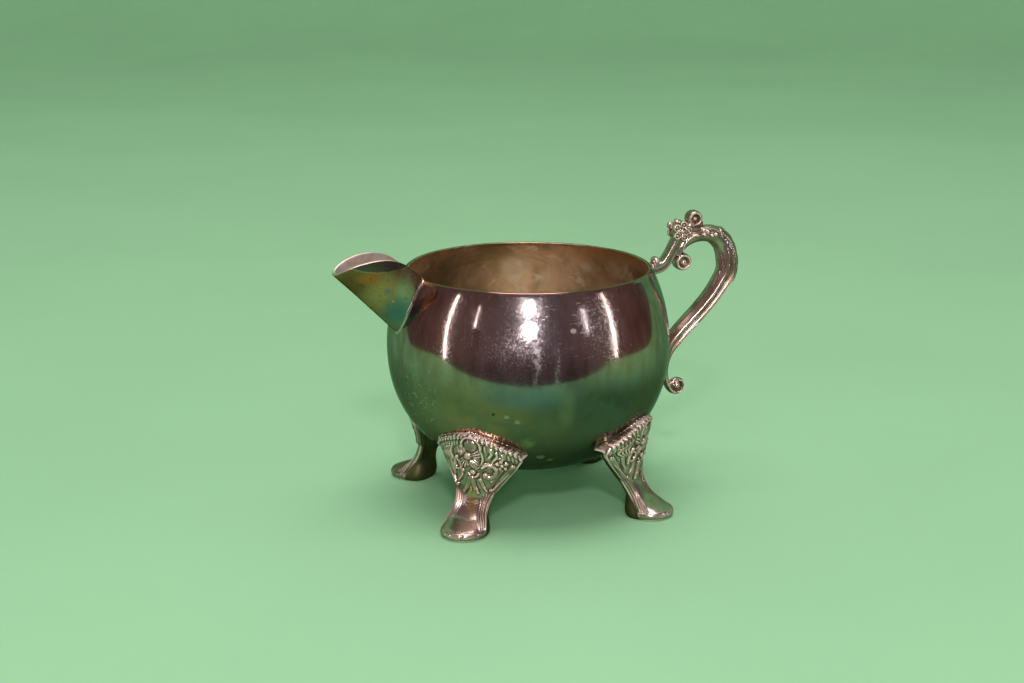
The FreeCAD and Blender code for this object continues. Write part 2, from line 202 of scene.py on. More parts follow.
def store_cavity(piece, rounds, dark_from=None):
    """Save how far each vertex lies in a hollow (-) or on a ridge (+), in millimetres.

    Vertices from dark_from on are saved as deep hollows: the dark back of a casting.
    """
    mesh = piece.data
    count = len(mesh.vertices)
    start = np.empty(count * 3)
    mesh.vertices.foreach_get("co", start)
    start = start.reshape(-1, 3)
    normals = np.empty(count * 3)
    mesh.vertex_normals.foreach_get("vector", normals)
    edges = np.empty(len(mesh.edges) * 2, int)
    mesh.edges.foreach_get("vertices", edges)
    a, b = edges.reshape(-1, 2).T
    degree = np.bincount(a, minlength=count) + np.bincount(b, minlength=count)
    degree = np.maximum(degree, 1)[:, None]
    moved = start.copy()
    for _ in range(rounds):
        total = [np.bincount(a, column[b], count) + np.bincount(b, column[a], count) for column in moved.T]
        moved = 0.5 * moved + 0.5 * np.stack(total, -1) / degree
    height = np.einsum("ij,ij->i", start - moved, normals.reshape(-1, 3)) / MM
    if dark_from is not None:
        height[dark_from:] = DARK_CAVITY
    layer = mesh.attributes.new("cavity", "FLOAT", "POINT")
    layer.data.foreach_set("value", height.astype(np.float32))


# ---------------------------------------------------------------- bowl

UPPER_DROP = EQUATOR_RADIUS - RIM_RADIUS
UPPER_ARC = (UPPER_DROP ** 2 + (RIM_HEIGHT - EQUATOR_HEIGHT) ** 2) / (2 * UPPER_DROP)


def belly_centre():
    """Centre of the belly arc, tangent to the shoulder arc and to the base arc."""
    shoulder_x = EQUATOR_RADIUS - SHOULDER_ARC
    base_z = BOTTOM_HEIGHT + BASE_ARC
    to_shoulder = SHOULDER_ARC - BELLY_ARC
    to_base = BASE_ARC - BELLY_ARC
    span = math.hypot(shoulder_x, base_z - EQUATOR_HEIGHT)
    along = (to_shoulder ** 2 - to_base ** 2 + span ** 2) / (2 * span)
    across = math.sqrt(to_shoulder ** 2 - along ** 2)
    unit_x, unit_z = -shoulder_x / span, (base_z - EQUATOR_HEIGHT) / span
    return (shoulder_x + along * unit_x + across * unit_z,
            EQUATOR_HEIGHT + along * unit_z - across * unit_x)


BELLY_X, BELLY_Z = belly_centre()
SHOULDER_END = math.atan2(EQUATOR_HEIGHT - BELLY_Z, BELLY_X - EQUATOR_RADIUS + SHOULDER_ARC)
BELLY_END = math.atan2(BOTTOM_HEIGHT + BASE_ARC - BELLY_Z, BELLY_X)
SHOULDER_LOW = EQUATOR_HEIGHT - SHOULDER_ARC * math.sin(SHOULDER_END)
BELLY_LOW = BELLY_Z - BELLY_ARC * math.sin(BELLY_END)


def bowl_radius(height):
    """Outer radius of the bowl at a height."""
    z = np.clip(np.asarray(height, float), BOTTOM_HEIGHT, RIM_HEIGHT)

    def arc(centre_x, centre_z, radius):
        return centre_x + np.sqrt(np.maximum(radius ** 2 - (z - centre_z) ** 2, 0))

    upper = arc(EQUATOR_RADIUS - UPPER_ARC, EQUATOR_HEIGHT, UPPER_ARC)
    shoulder = arc(EQUATOR_RADIUS - SHOULDER_ARC, EQUATOR_HEIGHT, SHOULDER_ARC)
    belly = arc(BELLY_X, BELLY_Z, BELLY_ARC)
    base = arc(0.0, BOTTOM_HEIGHT + BASE_ARC, BASE_ARC)
    below = np.where(z >= SHOULDER_LOW, shoulder, np.where(z >= BELLY_LOW, belly, base))
    return np.where(z >= EQUATOR_HEIGHT, upper, below)


def bowl_outline(inset, per_arc):
    """Points of the bowl's outline from the axis up to the brim, moved in by a thickness."""
    top = -math.asin((RIM_HEIGHT - EQUATOR_HEIGHT) / (UPPER_ARC - inset))
    arcs = [
        (0.0, BOTTOM_HEIGHT + BASE_ARC, BASE_ARC, math.pi / 2, BELLY_END, per_arc // 2),
        (BELLY_X, BELLY_Z, BELLY_ARC, BELLY_END, SHOULDER_END, per_arc),
        (EQUATOR_RADIUS - SHOULDER_ARC, EQUATOR_HEIGHT, SHOULDER_ARC, SHOULDER_END, 0.0, per_arc // 3),
        (EQUATOR_RADIUS - UPPER_ARC, EQUATOR_HEIGHT, UPPER_ARC, 0.0, top, per_arc),
    ]
    rows = []
    for centre_x, centre_z, radius, start, end, count in arcs:
        angle = np.linspace(start, end, count + 1)
        rows.append(np.stack([centre_x + (radius - inset) * np.cos(angle),
                              centre_z - (radius - inset) * np.sin(angle)], -1))
    return np.vstack([row[:-1] for row in rows] + [rows[-1][-1:]])


BOWL_SEGMENTS = 256
LIP_DROP = 0.3
MOUTH_HALF_WIDTH = 5.2
MOUTH_DEPTH = 13.0
MOUTH_REACH = (-30.0, -50.0)


def bowl_piece():
    """The spun bowl: outer wall, rounded brim and inner wall, with the pouring mouth cut out."""
    outer = bowl_outline(0.0, 44)
    inner = bowl_outline(WALL, 28)[::-1]
    outer[-1, 1] -= LIP_DROP
    inner[0, 1] -= LIP_DROP
    half = np.linalg.norm(outer[-1] - inner[0]) / 2
    angle = np.linspace(0, math.pi, 9)[1:-1]
    lip = (outer[-1] + inner[0]) / 2 + np.stack([half * np.cos(angle), LIP_DROP * np.sin(angle)], -1)
    outline = np.vstack([outer[1:], lip, inner[:-1]])
    points = around_axis(outline[:, 0, None], full_turn(BOWL_SEGMENTS), outline[:, 1, None])
    bumps = smooth_wobble(points, 16.0, 0.022, 3) + smooth_wobble(points, 34.0, 0.05, 4)
    points = points + normalized(points - [0, 0, EQUATOR_HEIGHT]) * bumps[..., None]
    bowl = closed_piece("spun_bowl", *closed_rings(points, [(0, 0, outer[0, 1]), (0, 0, inner[-1, 1])]))
    cutter = mouth_cutter()
    cut = bowl.modifiers.new("mouth", "BOOLEAN")
    cut.object = cutter
    cut.solver = "EXACT"
    evaluated_copy(bowl, "spun_bowl")
    bpy.data.objects.remove(cutter)
    bowl.data.polygons.foreach_set("use_smooth", np.ones(len(bowl.data.polygons), bool))
    bowl.data.set_sharp_from_angle(angle=math.radians(50))
    return bowl


def mouth_cutter():
    """An elliptical bar through the wall behind the spout."""
    angle = full_turn(96)
    side = MOUTH_HALF_WIDTH * np.cos(angle)
    height = RIM_HEIGHT + MOUTH_DEPTH * np.sin(angle)
    points = np.vstack([np.stack([np.full_like(angle, reach), side, height], -1) for reach in MOUTH_REACH])
    faces = grid_faces(2, len(angle), wrap_cols=True)
    faces.append(list(range(len(angle)))[::-1])
    faces.append(list(range(len(angle), 2 * len(angle))))
    return closed_piece("mouth_cutter", turn_about_z(points, SPOUT_TURN), faces)


# ---------------------------------------------------------------- spout

def arch_height(reach):
    """Height of the spout's top edge at a reach: one arc to the tip, one down to the brim."""
    run, fall = SPOUT_TIP[0] - SPOUT_PEAK[0], SPOUT_PEAK[1] - SPOUT_TIP[1]
    front = (run ** 2 + fall ** 2) / (2 * fall)
    run, fall = SPOUT_PEAK[0] - SPOUT_ROOT, SPOUT_PEAK[1] - RIM_HEIGHT
    back = (run ** 2 + fall ** 2) / (2 * fall)
    offset = np.asarray(reach, float) - SPOUT_PEAK[0]
    radius = np.where(offset > 0, front, back)
    return SPOUT_PEAK[1] - radius + np.sqrt(np.maximum(radius ** 2 - offset ** 2, 0))


def trough_point(depth, side, along):
    """A point of the spout: reach, side and height from its place in the trough."""
    cos, sin = math.cos(SPOUT_SLOPE), math.sin(SPOUT_SLOPE)
    reach = SPOUT_TIP[0] + along * cos - depth * sin
    height = SPOUT_TIP[1] + along * sin + depth * cos
    return reach, side, height


def crossing(test, low, high):
    """Where a test changes sign between two arrays of values."""
    for _ in range(50):
        middle = (low + high) / 2
        inside = test(middle) < 0
        low = np.where(inside, middle, low)
        high = np.where(inside, high, middle)
    return (low + high) / 2


def trough_ends(depth, side):
    """Where each straight line of the trough leaves the bowl and where it meets the arch."""
    def outside_bowl(along):
        reach, _, height = trough_point(depth, side, along)
        level = np.minimum(height, RIM_HEIGHT)
        return np.hypot(reach, side) - bowl_radius(level)

    def above_arch(along):
        reach, _, height = trough_point(depth, side, along)
        return height - arch_height(reach)

    start = crossing(outside_bowl, np.full_like(depth, -40.0), np.full_like(depth, 0.0))
    end = crossing(above_arch, start - 1e-6, np.full_like(depth, 8.0))
    return start, end


def trough_section(angle, inset):
    """Depth and side of the sheet's section, an ellipse's lower half, moved in by a thickness."""
    depth = SPOUT_DEPTH - (SPOUT_DEPTH - inset) * np.cos(angle)
    side = (SPOUT_HALF_WIDTH - inset) * np.sin(angle)
    return depth, side


def spout_reach_angle(inset):
    """The section angle at which the sheet's edge comes down to the bowl."""
    def spare(angle):
        depth, side = trough_section(angle, inset)
        start, end = trough_ends(depth, side)
        return 0.05 - (end - start)

    low, high = np.array([0.3]), np.array([1.62])
    return float(crossing(spare, low, high)[0])


def spout_place(rows):
    """Rows of (reach, side, height) moved to where the spout sits."""
    return turn_about_z(np.stack(rows) * [-1, 1, 1], SPOUT_TURN)


SPOUT_ACROSS = 121
SPOUT_ALONG = 70
SPOUT_EDGE = 5
EDGE_BULGE = 0.32
EDGE_SETBACK = 0.3
ROOT_EMBED = 0.35


def spout_piece():
    """The bent sheet, a closed thin shell with a rounded free edge."""
    layers = []
    for share in np.linspace(0, 1, SPOUT_EDGE + 2):
        inset = SPOUT_SHEET * share
        limit = spout_reach_angle(inset)
        depth, side = trough_section(np.linspace(-limit, limit, SPOUT_ACROSS), inset)
        start, end = trough_ends(depth, side)
        bulge = EDGE_BULGE * math.sin(math.pi * share)
        layers.append((depth, side, start - ROOT_EMBED, end + bulge - EDGE_SETBACK))

    def sheet_row(layer, share):
        depth, side, start, end = layer
        return np.stack(trough_point(depth, side, start * (1 - share) + end * share), -1)

    rows = [sheet_row(layers[0], share) for share in np.linspace(0, 1, SPOUT_ALONG) ** 0.85]
    rows += [sheet_row(layer, 1.0) for layer in layers[1:-1]]
    rows += [sheet_row(layers[-1], share) for share in np.linspace(1, 0, SPOUT_ALONG)]
    points = spout_place(rows)
    points[..., 2] += smooth_wobble(points, 13.0, 0.03, 11)
    count = len(rows)
    faces = grid_faces(count, SPOUT_ACROSS, wrap_rows=True)
    for column in (0, SPOUT_ACROSS - 1):
        edge = [r * SPOUT_ACROSS + column for r in range(count)]
        for k in range(count // 2 - 1):
            faces.append([edge[k], edge[k + 1], edge[count - 2 - k], edge[count - 1 - k]])
    return closed_piece("bent_spout", points, faces, sharp_above=60)


SEAM_WIDTH = 0.56
SEAM_FULLNESS = 0.07
SEAM_BACK = [(-0.2, 0.125), (-0.2, -0.2), (0.0, -0.225)]


def seam_piece():
    """Solder run into the corner between the spout and the bowl."""
    limit = spout_reach_angle(0.0)
    angle = np.linspace(-limit, limit, 150)
    depth, side = trough_section(angle, 0.0)
    start, _ = trough_ends(depth, side)
    root = np.stack(trough_point(depth, side, start), -1)
    ahead = normalized(np.stack(trough_point(depth, side, start + 1.0), -1) - root)
    normal = normalized(root - [0, 0, EQUATOR_HEIGHT])
    away = np.cross(normal, normalized(np.gradient(root, axis=0)))
    away *= np.where(away[:, 1] * np.sign(angle) - 0.3 * away[:, 2] > 0, 1.0, -1.0)[:, None]
    sheet_out = normalized(away - ahead * np.einsum("ij,ij->i", away, ahead)[:, None])
    taper = np.clip((limit - np.abs(angle)) / 0.06, 0.35, 1.0)
    width = (taper * (SEAM_WIDTH + smooth_wobble(root, 7.0, 0.05, 21)))[:, None]
    rows = []
    for u in np.linspace(0, 1, 9):
        full = SEAM_FULLNESS * math.sin(math.pi * u)
        rows.append(root + width * (away * (1 - u + full) + ahead * (u + full)) - normal * 0.05)
    for out, up in SEAM_BACK:
        rows.append(root + sheet_out * out + normal * up)
    return closed_piece("spout_solder_bead", *capped_strip(spout_place(rows)))


# ---------------------------------------------------------------- handle

# Centre line of the stem: reach, height, in-plane thickness, width
STEM = [
    (40.5, 70.6, 3.6, 4.8),
    (42.4, 70.7, 3.6, 4.6),
    (44.9, 71.9, 3.5, 4.6),
    (47.0, 75.1, 3.1, 4.6),
    (48.9, 78.6, 3.1, 4.9),
    (50.4, 81.8, 3.4, 5.2),
]

# Centre line of the scroll from the inner volute over the top and down to the tail
SCROLL = [
    (49.2, 74.4, 3.2, 4.4),
    (50.3, 77.1, 3.6, 4.8),
    (53.1, 79.6, 4.4, 5.4),
    (57.2, 80.8, 4.9, 5.9),
    (61.4, 80.4, 5.8, 6.2),
    (64.9, 77.4, 6.4, 6.4),
    (66.5, 72.8, 6.8, 6.8),
    (66.5, 68.3, 6.7, 6.7),
    (64.5, 64.6, 6.2, 6.4),
    (61.6, 60.5, 5.7, 6.3),
    (57.8, 56.2, 5.5, 6.2),
    (53.6, 52.0, 5.5, 6.0),
    (49.7, 47.9, 5.4, 5.8),
    (47.0, 44.1, 4.6, 5.2),
    (46.0, 40.4, 3.3, 4.4),
    (45.9, 36.4, 2.3, 3.9),
    (46.7, 32.9, 2.0, 3.9),
    (48.4, 30.1, 1.7, 4.0),
    (50.6, 29.6, 1.4, 4.2),
    (52.1, 31.2, 1.2, 4.3),
    (51.8, 33.1, 1.1, 4.3),
    (50.4, 33.7, 1.0, 4.2),
]


def curve_frames(table):
    """Centres and in-plane normals along a centre line in the XZ plane."""
    centre = np.stack([table[:, 0], np.zeros(len(table)), table[:, 1]], -1)
    tangent = normalized(np.gradient(centre, axis=0))
    return centre, np.stack([-tangent[:, 2], tangent[:, 1], tangent[:, 0]], -1)


def tube(table, relief):
    """A bar along a centre line. relief is its extra height in millimetres, ring by ring."""
    centre, normal = curve_frames(table)
    half_in, half_side = table[:, 2] / 2, table[:, 3] / 2
    angle = full_turn(relief.shape[1])
    cos, sin = np.cos(angle), np.sin(angle)
    side = np.array([0.0, 1.0, 0.0])
    outward = cos[None, :, None] * normal[:, None, :] + sin[None, :, None] * side
    points = (centre[:, None, :]
              + (cos * half_in[:, None])[..., None] * normal[:, None, :]
              + (sin * half_side[:, None])[..., None] * side
              + outward * relief[..., None])
    return closed_rings(points, [points[0].mean(0), points[-1].mean(0)])


def ellipsoid(centre, radii, rings=24, around=32):
    """Points and faces of an ellipsoid."""
    p, a = np.meshgrid(np.linspace(0, math.pi, rings + 1)[1:-1], full_turn(around), indexing="ij")
    sphere = np.stack([np.sin(p) * np.cos(a), np.sin(p) * np.sin(a), np.cos(p)], -1)
    points, faces = closed_rings(sphere, [(0, 0, 1), (0, 0, -1)])
    return np.asarray(centre) + points * np.asarray(radii), faces


def torus(centre, ring_radius, thickness, across, around=28, section=12):
    """A ring lying in the XZ plane."""
    a, b = full_turn(around)[:, None], full_turn(section)[None, :]
    radius = ring_radius + thickness * np.cos(b)
    points = np.stack([radius * np.cos(a), across * np.sin(b) + 0 * a, radius * np.sin(a)], -1)
    return (np.asarray(centre) + points).reshape(-1, 3), grid_faces(around, section, True, True)


def turned_disc(centre, profile, around=64):
    """A boss turned about an axis along Y: profile rows are (radius, half width) from the middle out."""
    half = catmull_rom(profile, 6 * len(profile))
    whole = np.vstack([half, half[::-1] * [1, -1]])[1:-1]
    turn = full_turn(around)
    radius = np.maximum(whole[:, 0, None], 0.02)
    points = np.stack([centre[0] + radius * np.cos(turn),
                       whole[:, 1, None] + 0 * turn,
                       centre[1] + radius * np.sin(turn)], -1)
    return closed_rings(points, [(centre[0], whole[end, 1], centre[1]) for end in (0, -1)])


def scroll_face(table, x, z):
    """Half width of the scroll's surface at a place on its side."""
    gap = np.hypot(table[:, 0] - x, table[:, 1] - z)
    k = int(np.argmin(gap))
    share = min(gap[k] / (table[k, 2] / 2), 0.96)
    return table[k, 3] / 2 * math.sqrt(1 - share ** 2)


def strands(table, path, radius, lift):
    """A pair of raised threads along a path (reach, height) on the two sides of the scroll."""
    line = catmull_rom(path, 14 * len(path))
    steps = np.arange(len(line))
    size = (radius * np.sqrt(np.clip(np.minimum(steps, steps[::-1]) / 6, 0.1, 1)))[:, None]
    parts = []
    for side in (-1, 1):
        middle = np.array([(x, side * (scroll_face(table, x, z) + lift), z) for x, z in line])
        tangent = normalized(np.gradient(middle, axis=0))
        across = normalized(np.cross(tangent, [0.0, 1.0, 0.0]))
        up = np.cross(across, tangent)
        rings = [middle + (across * math.cos(turn) + up * math.sin(turn)) * size for turn in full_turn(12)]
        parts.append(closed_rings(np.stack(rings, 1), [middle[0], middle[-1]]))
    return parts


def hill(values, centre, width):
    """A smooth bump of unit height."""
    return np.exp(-((values - centre) / width) ** 2)


LEAF_START = 4.15
LEAF_END = 7.6


def scroll_relief(rings, around):
    """Ridges along the handle's sides and the leaf that lies over its top."""
    station = np.linspace(0, len(SCROLL) - 1, rings)
    angle = np.linspace(0, 2 * math.pi, around, endpoint=False)
    from_outside = np.abs((angle + math.pi) % (2 * math.pi) - math.pi)
    s, a = np.meshgrid(station, from_outside, indexing="ij")
    fade = np.clip((s - 5.0) / 1.5, 0, 1) * np.clip((14.2 - s) / 2.0, 0, 1)
    ridges = (0.42 * hill(a, 0.84, 0.09) - 0.38 * hill(a, 1.02, 0.07) + 0.46 * hill(a, 1.22, 0.11)
              - 0.42 * hill(a, 1.50, 0.09) + 0.30 * hill(a, 1.90, 0.26)) * fade
    u = np.clip((s - LEAF_START) / (LEAF_END - LEAF_START), 0, 1)
    on = (s > LEAF_START) & (s < LEAF_END)
    half = 1.16 * np.clip((1 - u) / 0.22, 0, 1) ** 0.5 * np.clip(u / 0.06 + 0.55, 0, 1)
    half = half + 0.03 * np.cos(s * 40)
    inside = np.clip((half - a) / 0.10, 0, 1) * on
    rim = hill(a, half - 0.14, 0.09) * (0.85 + 0.15 * np.cos(s * 40))
    veins = 0.06 * np.cos(a * 7.0 + u * 26.0)
    leaf = inside * (0.26 + 0.30 * rim + veins + 0.12 * hill(a, 0.0, 0.12)) * np.clip(u / 0.02, 0, 1)
    leaf = leaf + on * 0.14 * hill(u, 0.04, 0.06) * np.clip(1.1 - a, 0, 1)
    return np.where(inside > 0.02, leaf + ridges * (1 - inside), ridges)


ROSETTE = (50.5, 82.4)
THUMB_SCROLL = (54.9, 85.9)
THUMB_NECK = (53.6, 83.4)
INNER_VOLUTE = (51.1, 72.3)
TAIL_VOLUTE = (49.9, 32.0)
RIM_BALL = (42.1, 73.1)
SIDE_BEADS = [(57.6, 80.9), (58.8, 81.7), (60.2, 80.5), (61.5, 80.8)]
INNER_THREAD = [(50.5, 75.6), (50.9, 77.6), (52.2, 79.4), (54.0, 80.5), (56.2, 80.8)]
UPPER_THREAD = [(56.0, 84.2), (56.7, 83.0), (58.4, 82.3), (60.6, 82.4), (62.6, 81.4), (64.2, 79.3)]
VOLUTE_PROFILE = [(0.0, 2.6), (0.5, 2.5), (0.85, 2.1), (1.0, 1.6), (1.3, 1.5), (1.6, 1.8), (1.85, 2.4),
                  (2.15, 2.5), (2.45, 2.25), (2.7, 1.6), (2.8, 0.8), (2.8, 0.0)]
THUMB_PROFILE = [(0.0, 1.7), (0.5, 1.5), (0.8, 1.1), (1.0, 0.9), (1.25, 1.2), (1.5, 1.9), (1.8, 2.15),
                 (2.15, 2.0), (2.45, 1.5), (2.6, 0.8), (2.6, 0.0)]

ROSETTE_SHOULDER = [(60, 2.0), (110, 2.3), (160, 2.3), (208, 2.1)]
PETALS = 5
PETAL_RING = 2.1
FIRST_PETAL = 4.0

# Bodies of the handle between its scrolls: middle (reach, height) and the three half sizes
HANDLE_MASSES = [
    (TAIL_VOLUTE, (1.5, 2.3, 1.5)),
    (TAIL_VOLUTE, (2.3, 1.5, 2.2)),
    (THUMB_NECK, (2.2, 2.3, 2.2)),
    ((55.2, 82.2), (3.2, 2.4, 1.9)),
    ((56.6, 84.1), (1.5, 1.7, 1.5)),
    ((52.8, 80.4), (2.6, 2.5, 2.4)),
    (RIM_BALL, (1.3, 2.2, 1.3)),
]
STEM_RINGS = 160
FLUTE_DEPTH = 0.30


def rosette_parts():
    """A flower of ring petals on both sides of the stem's top, and bumps over its shoulder."""
    middle_x, middle_z = ROSETTE[0] - 0.5, ROSETTE[1]
    parts = [ellipsoid((ROSETTE[0] - 0.1, 0, ROSETTE[1]), (2.7, 2.7, 2.7))]
    for side in (-1, 1):
        for k in range(PETALS):
            turn = math.radians(FIRST_PETAL + 360 / PETALS * k)
            x, z = middle_x + PETAL_RING * math.cos(turn), middle_z + PETAL_RING * math.sin(turn)
            parts.append(ellipsoid((x, side * 2.2, z), (1.25, 0.6, 1.25), 12, 18))
            parts.append(torus((x, side * 2.65, z), 0.95, 0.27, 0.6))
            parts.append(ellipsoid((x, side * 2.7, z), (0.42, 0.6, 0.42), 10, 14))
        parts.append(ellipsoid((middle_x, side * 2.8, middle_z), (0.75, 0.7, 0.75), 12, 16))
    for turn, reach in ROSETTE_SHOULDER:
        x = ROSETTE[0] + reach * math.cos(math.radians(turn))
        z = ROSETTE[1] + reach * math.sin(math.radians(turn))
        for side in (-1.1, 1.1):
            parts.append(ellipsoid((x, side, z), (1.0, 1.15, 1.0), 14, 18))
    return parts


def join_parts(name, parts):
    """One object from a list of (points, faces)."""
    faces, first = [], 0
    for points, part_faces in parts:
        faces += [[index + first for index in face] for face in part_faces]
        first += len(points)
    return closed_piece(name, np.vstack([points for points, _ in parts]), faces)


def cast(piece, voxel, rounds):
    """Fuse overlapping shells into one casting and ease its corners."""
    remesh = piece.modifiers.new("cast", "REMESH")
    remesh.mode = "VOXEL"
    remesh.voxel_size = voxel * MM
    remesh.adaptivity = 0.0
    soften = piece.modifiers.new("soften", "SMOOTH")
    soften.factor = 0.5
    soften.iterations = rounds
    evaluated_copy(piece, piece.name)
    mesh = piece.data
    mesh.polygons.foreach_set("use_smooth", np.ones(len(mesh.polygons), bool))
    return piece


def handle_piece():
    """The cast handle."""
    rings, around = 460, 112
    table = catmull_rom(SCROLL, rings)
    parts = [tube(table, scroll_relief(rings, around))]
    parts += strands(table, INNER_THREAD, 0.42, -0.05)
    parts += strands(table, UPPER_THREAD, 0.45, -0.1)
    for x, z in SIDE_BEADS:
        depth = scroll_face(table, x, z)
        for side in (-1, 1):
            parts.append(ellipsoid((x, side * depth, z), (0.56, 0.6, 0.56), 12, 16))
    flutes = -FLUTE_DEPTH * np.cos(4 * full_turn(64))[None, :] * np.ones((STEM_RINGS, 1))
    parts.append(tube(catmull_rom(STEM, STEM_RINGS), flutes))
    parts.append(turned_disc(INNER_VOLUTE, VOLUTE_PROFILE))
    parts.append(turned_disc(THUMB_SCROLL, THUMB_PROFILE))
    for (x, z), sizes in HANDLE_MASSES:
        parts.append(ellipsoid((x, 0, z), sizes))
    parts += rosette_parts()
    handle = join_parts("cast_handle", parts)
    cast(handle, 0.17, 2)
    store_cavity(handle, 14)
    return handle


# ---------------------------------------------------------------- feet

# Level sections of a foot: height, half width, reach of its sides, of its front, of its back
FOOT_SECTIONS = np.array([
    (0.0, 6.4, 41.6, 48.3, 35.6),
    (1.3, 6.7, 41.5, 49.1, 35.0),
    (2.8, 6.5, 41.0, 48.3, 34.8),
    (4.4, 6.1, 39.8, 45.6, 34.8),
    (6.4, 5.6, 38.4, 42.1, 34.9),
    (9.0, 5.6, 37.0, 39.7, 35.2),
    (12.0, 6.3, 35.8, 38.6, 35.4),
    (15.0, 7.9, 34.8, 38.5, 35.8),
    (18.5, 10.3, 33.9, 38.9, 36.6),
    (22.0, 12.8, 33.5, 39.5, 37.5),
    (25.4, 14.7, 34.0, 40.3, 38.5),
    (28.6, 15.4, 35.0, 41.0, 39.3),
    (32.0, 15.8, 36.2, 41.8, 40.3),
])

# Top edge of a foot's plate: height of its middle, place of its corners, rounding at its middle,
# and how its corners fall away beyond a share of the half width
FOOT_PEAK = 31.6
FOOT_SHOULDER = (15.6, 25.4)
PEAK_ROUNDING = 1.6
CORNER_SHARE = 0.78
CORNER_FALL = 62.0

# Feet soldered on with a sideways lean, which sets in above a height
FOOT_LEAN = {3: 0.052, 4: -0.08}
LEAN_FROM = 6.0
LEAN_BLEND = 8.0

# The plate's thickness, where the leg below it turns into a plate, and its fit against the bowl
PLATE_THICKNESS = 2.0
PLATE_FROM = 11.0
PLATE_BLEND = 5.0
FRONT_CLEARANCE = 0.12
BACK_EMBED = 0.3
LEAST_THICKNESS = 0.3
BORDER_WIDTH = 1.5
BORDER_FROM = 16.0

# Ornament of a foot's front, placed by (side, height). Bosses: place, radius, rise
FLOWER = (-0.9, 24.3)
SMALL_FLOWER = (9.3, 22.3)
BOSSES = [
    ((0.2, 28.0), 2.25, 1.35), (FLOWER, 1.35, 1.3), (SMALL_FLOWER, 0.7, 0.9),
    ((5.5, 21.9), 0.95, 0.95), ((4.3, 18.7), 0.95, 1.0), ((0.4, 19.2), 0.95, 0.95),
]
FLOWER_PETALS = (150, 20, -52, -122)

# Curls: middle, radius, half widths from start to end, angles of the two ends, rise
CURLS = [
    ((0.2, 27.6), 3.1, (0.5, 0.5), (-10, 190), 0.85),
    ((5.4, 20.2), 2.15, (0.65, 0.9), (150, -120), 1.0),
    ((0.4, 19.2), 1.7, (0.25, 0.45), (200, 340), 0.55),
    ((8.9, 22.3), 2.5, (0.3, 0.4), (60, 250), 0.5),
    (FLOWER, 4.6, (0.3, 0.4), (-60, 30), 0.5),
    ((-5.0, 20.6), 1.5, (0.4, 0.6), (80, -150), 0.75),
]

# Leaves: three points of the path, half widths from start to end, rise
LEAVES = [
    ([(-0.4, 16.9), (-1.3, 14.6), (-2.5, 12.2)], (1.2, 0.45), 0.95),
    ([(-0.2, 16.9), (0.8, 14.8), (2.2, 12.4)], (1.2, 0.45), 0.95),
    ([(-0.3, 16.0), (-0.3, 14.0), (-0.2, 12.6)], (0.45, 0.2), 0.5),
    ([(2.6, 16.8), (3.4, 15.0), (4.6, 13.2)], (0.75, 0.35), 0.6),
    ([(-3.4, 18.9), (-3.9, 16.8), (-4.9, 15.2)], (0.85, 0.35), 0.7),
    ([(8.8, 20.4), (7.4, 18.2), (5.9, 16.6)], (0.9, 0.4), 0.6),
    ([(-8.6, 21.0), (-7.9, 19.0), (-6.8, 17.0)], (0.8, 0.4), 0.6),
    ([(-5.2, 23.0), (-6.2, 21.0), (-6.2, 18.6)], (0.7, 0.45), 0.75),
]
BORDER_LEAVES = [
    ([(12.6, 21.2), (9.4, 17.6), (6.6, 13.6)], (1.15, 0.6), 0.7),
    ([(11.0, 19.4), (8.3, 16.6), (6.1, 13.9)], (0.3, 0.2), 0.95),
]


def foot_top(side):
    """Height of a foot's top edge, an arch that steepens towards its corners."""
    reach = np.hypot(side, PEAK_ROUNDING) - PEAK_ROUNDING
    share = np.minimum(reach / (FOOT_SHOULDER[0] - PEAK_ROUNDING), 1.1)
    arch = FOOT_PEAK - (FOOT_PEAK - FOOT_SHOULDER[1]) * share * (0.62 + 0.38 * share)
    return arch - CORNER_FALL * np.maximum(share - CORNER_SHARE, 0) ** 2


def section_sizes(height):
    """Half width and reaches of a foot at a height."""
    table = catmull_rom(FOOT_SECTIONS, 600)
    return [np.interp(height, table[:, 0], table[:, k]) for k in range(1, 5)]


def dome(x, y, at, size, turn=0.0):
    """A round or oval boss of unit height."""
    size = (size, size) if np.isscalar(size) else size
    cos, sin = math.cos(turn), math.sin(turn)
    u = ((x - at[0]) * cos + (y - at[1]) * sin) / size[0]
    v = (-(x - at[0]) * sin + (y - at[1]) * cos) / size[1]
    return np.sqrt(np.clip(1 - u * u - v * v, 0, 1))


def stroke(x, y, path, width):
    """A round ridge of unit height along a smooth path; width tapers from one value to the other."""
    line = catmull_rom(path, 24)
    best = np.zeros_like(x)
    for k in range(len(line) - 1):
        a, b = line[k], line[k + 1]
        edge = b - a
        share = np.clip(((x - a[0]) * edge[0] + (y - a[1]) * edge[1]) / (edge @ edge), 0, 1)
        gap = np.hypot(x - a[0] - share * edge[0], y - a[1] - share * edge[1])
        at = (k + share) / (len(line) - 1)
        here = width[0] + (width[1] - width[0]) * at
        best = np.maximum(best, np.sqrt(np.clip(1 - (gap / here) ** 2, 0, 1)))
    return best


def ridge(values, middle, half_width):
    """A rounded ridge of unit height."""
    return np.clip(1 - ((values - middle) / half_width) ** 2, 0, 1)


def polar(middle, radius, angle):
    """A place at a distance and an angle from a middle."""
    return middle[0] + radius * math.cos(angle), middle[1] + radius * math.sin(angle)


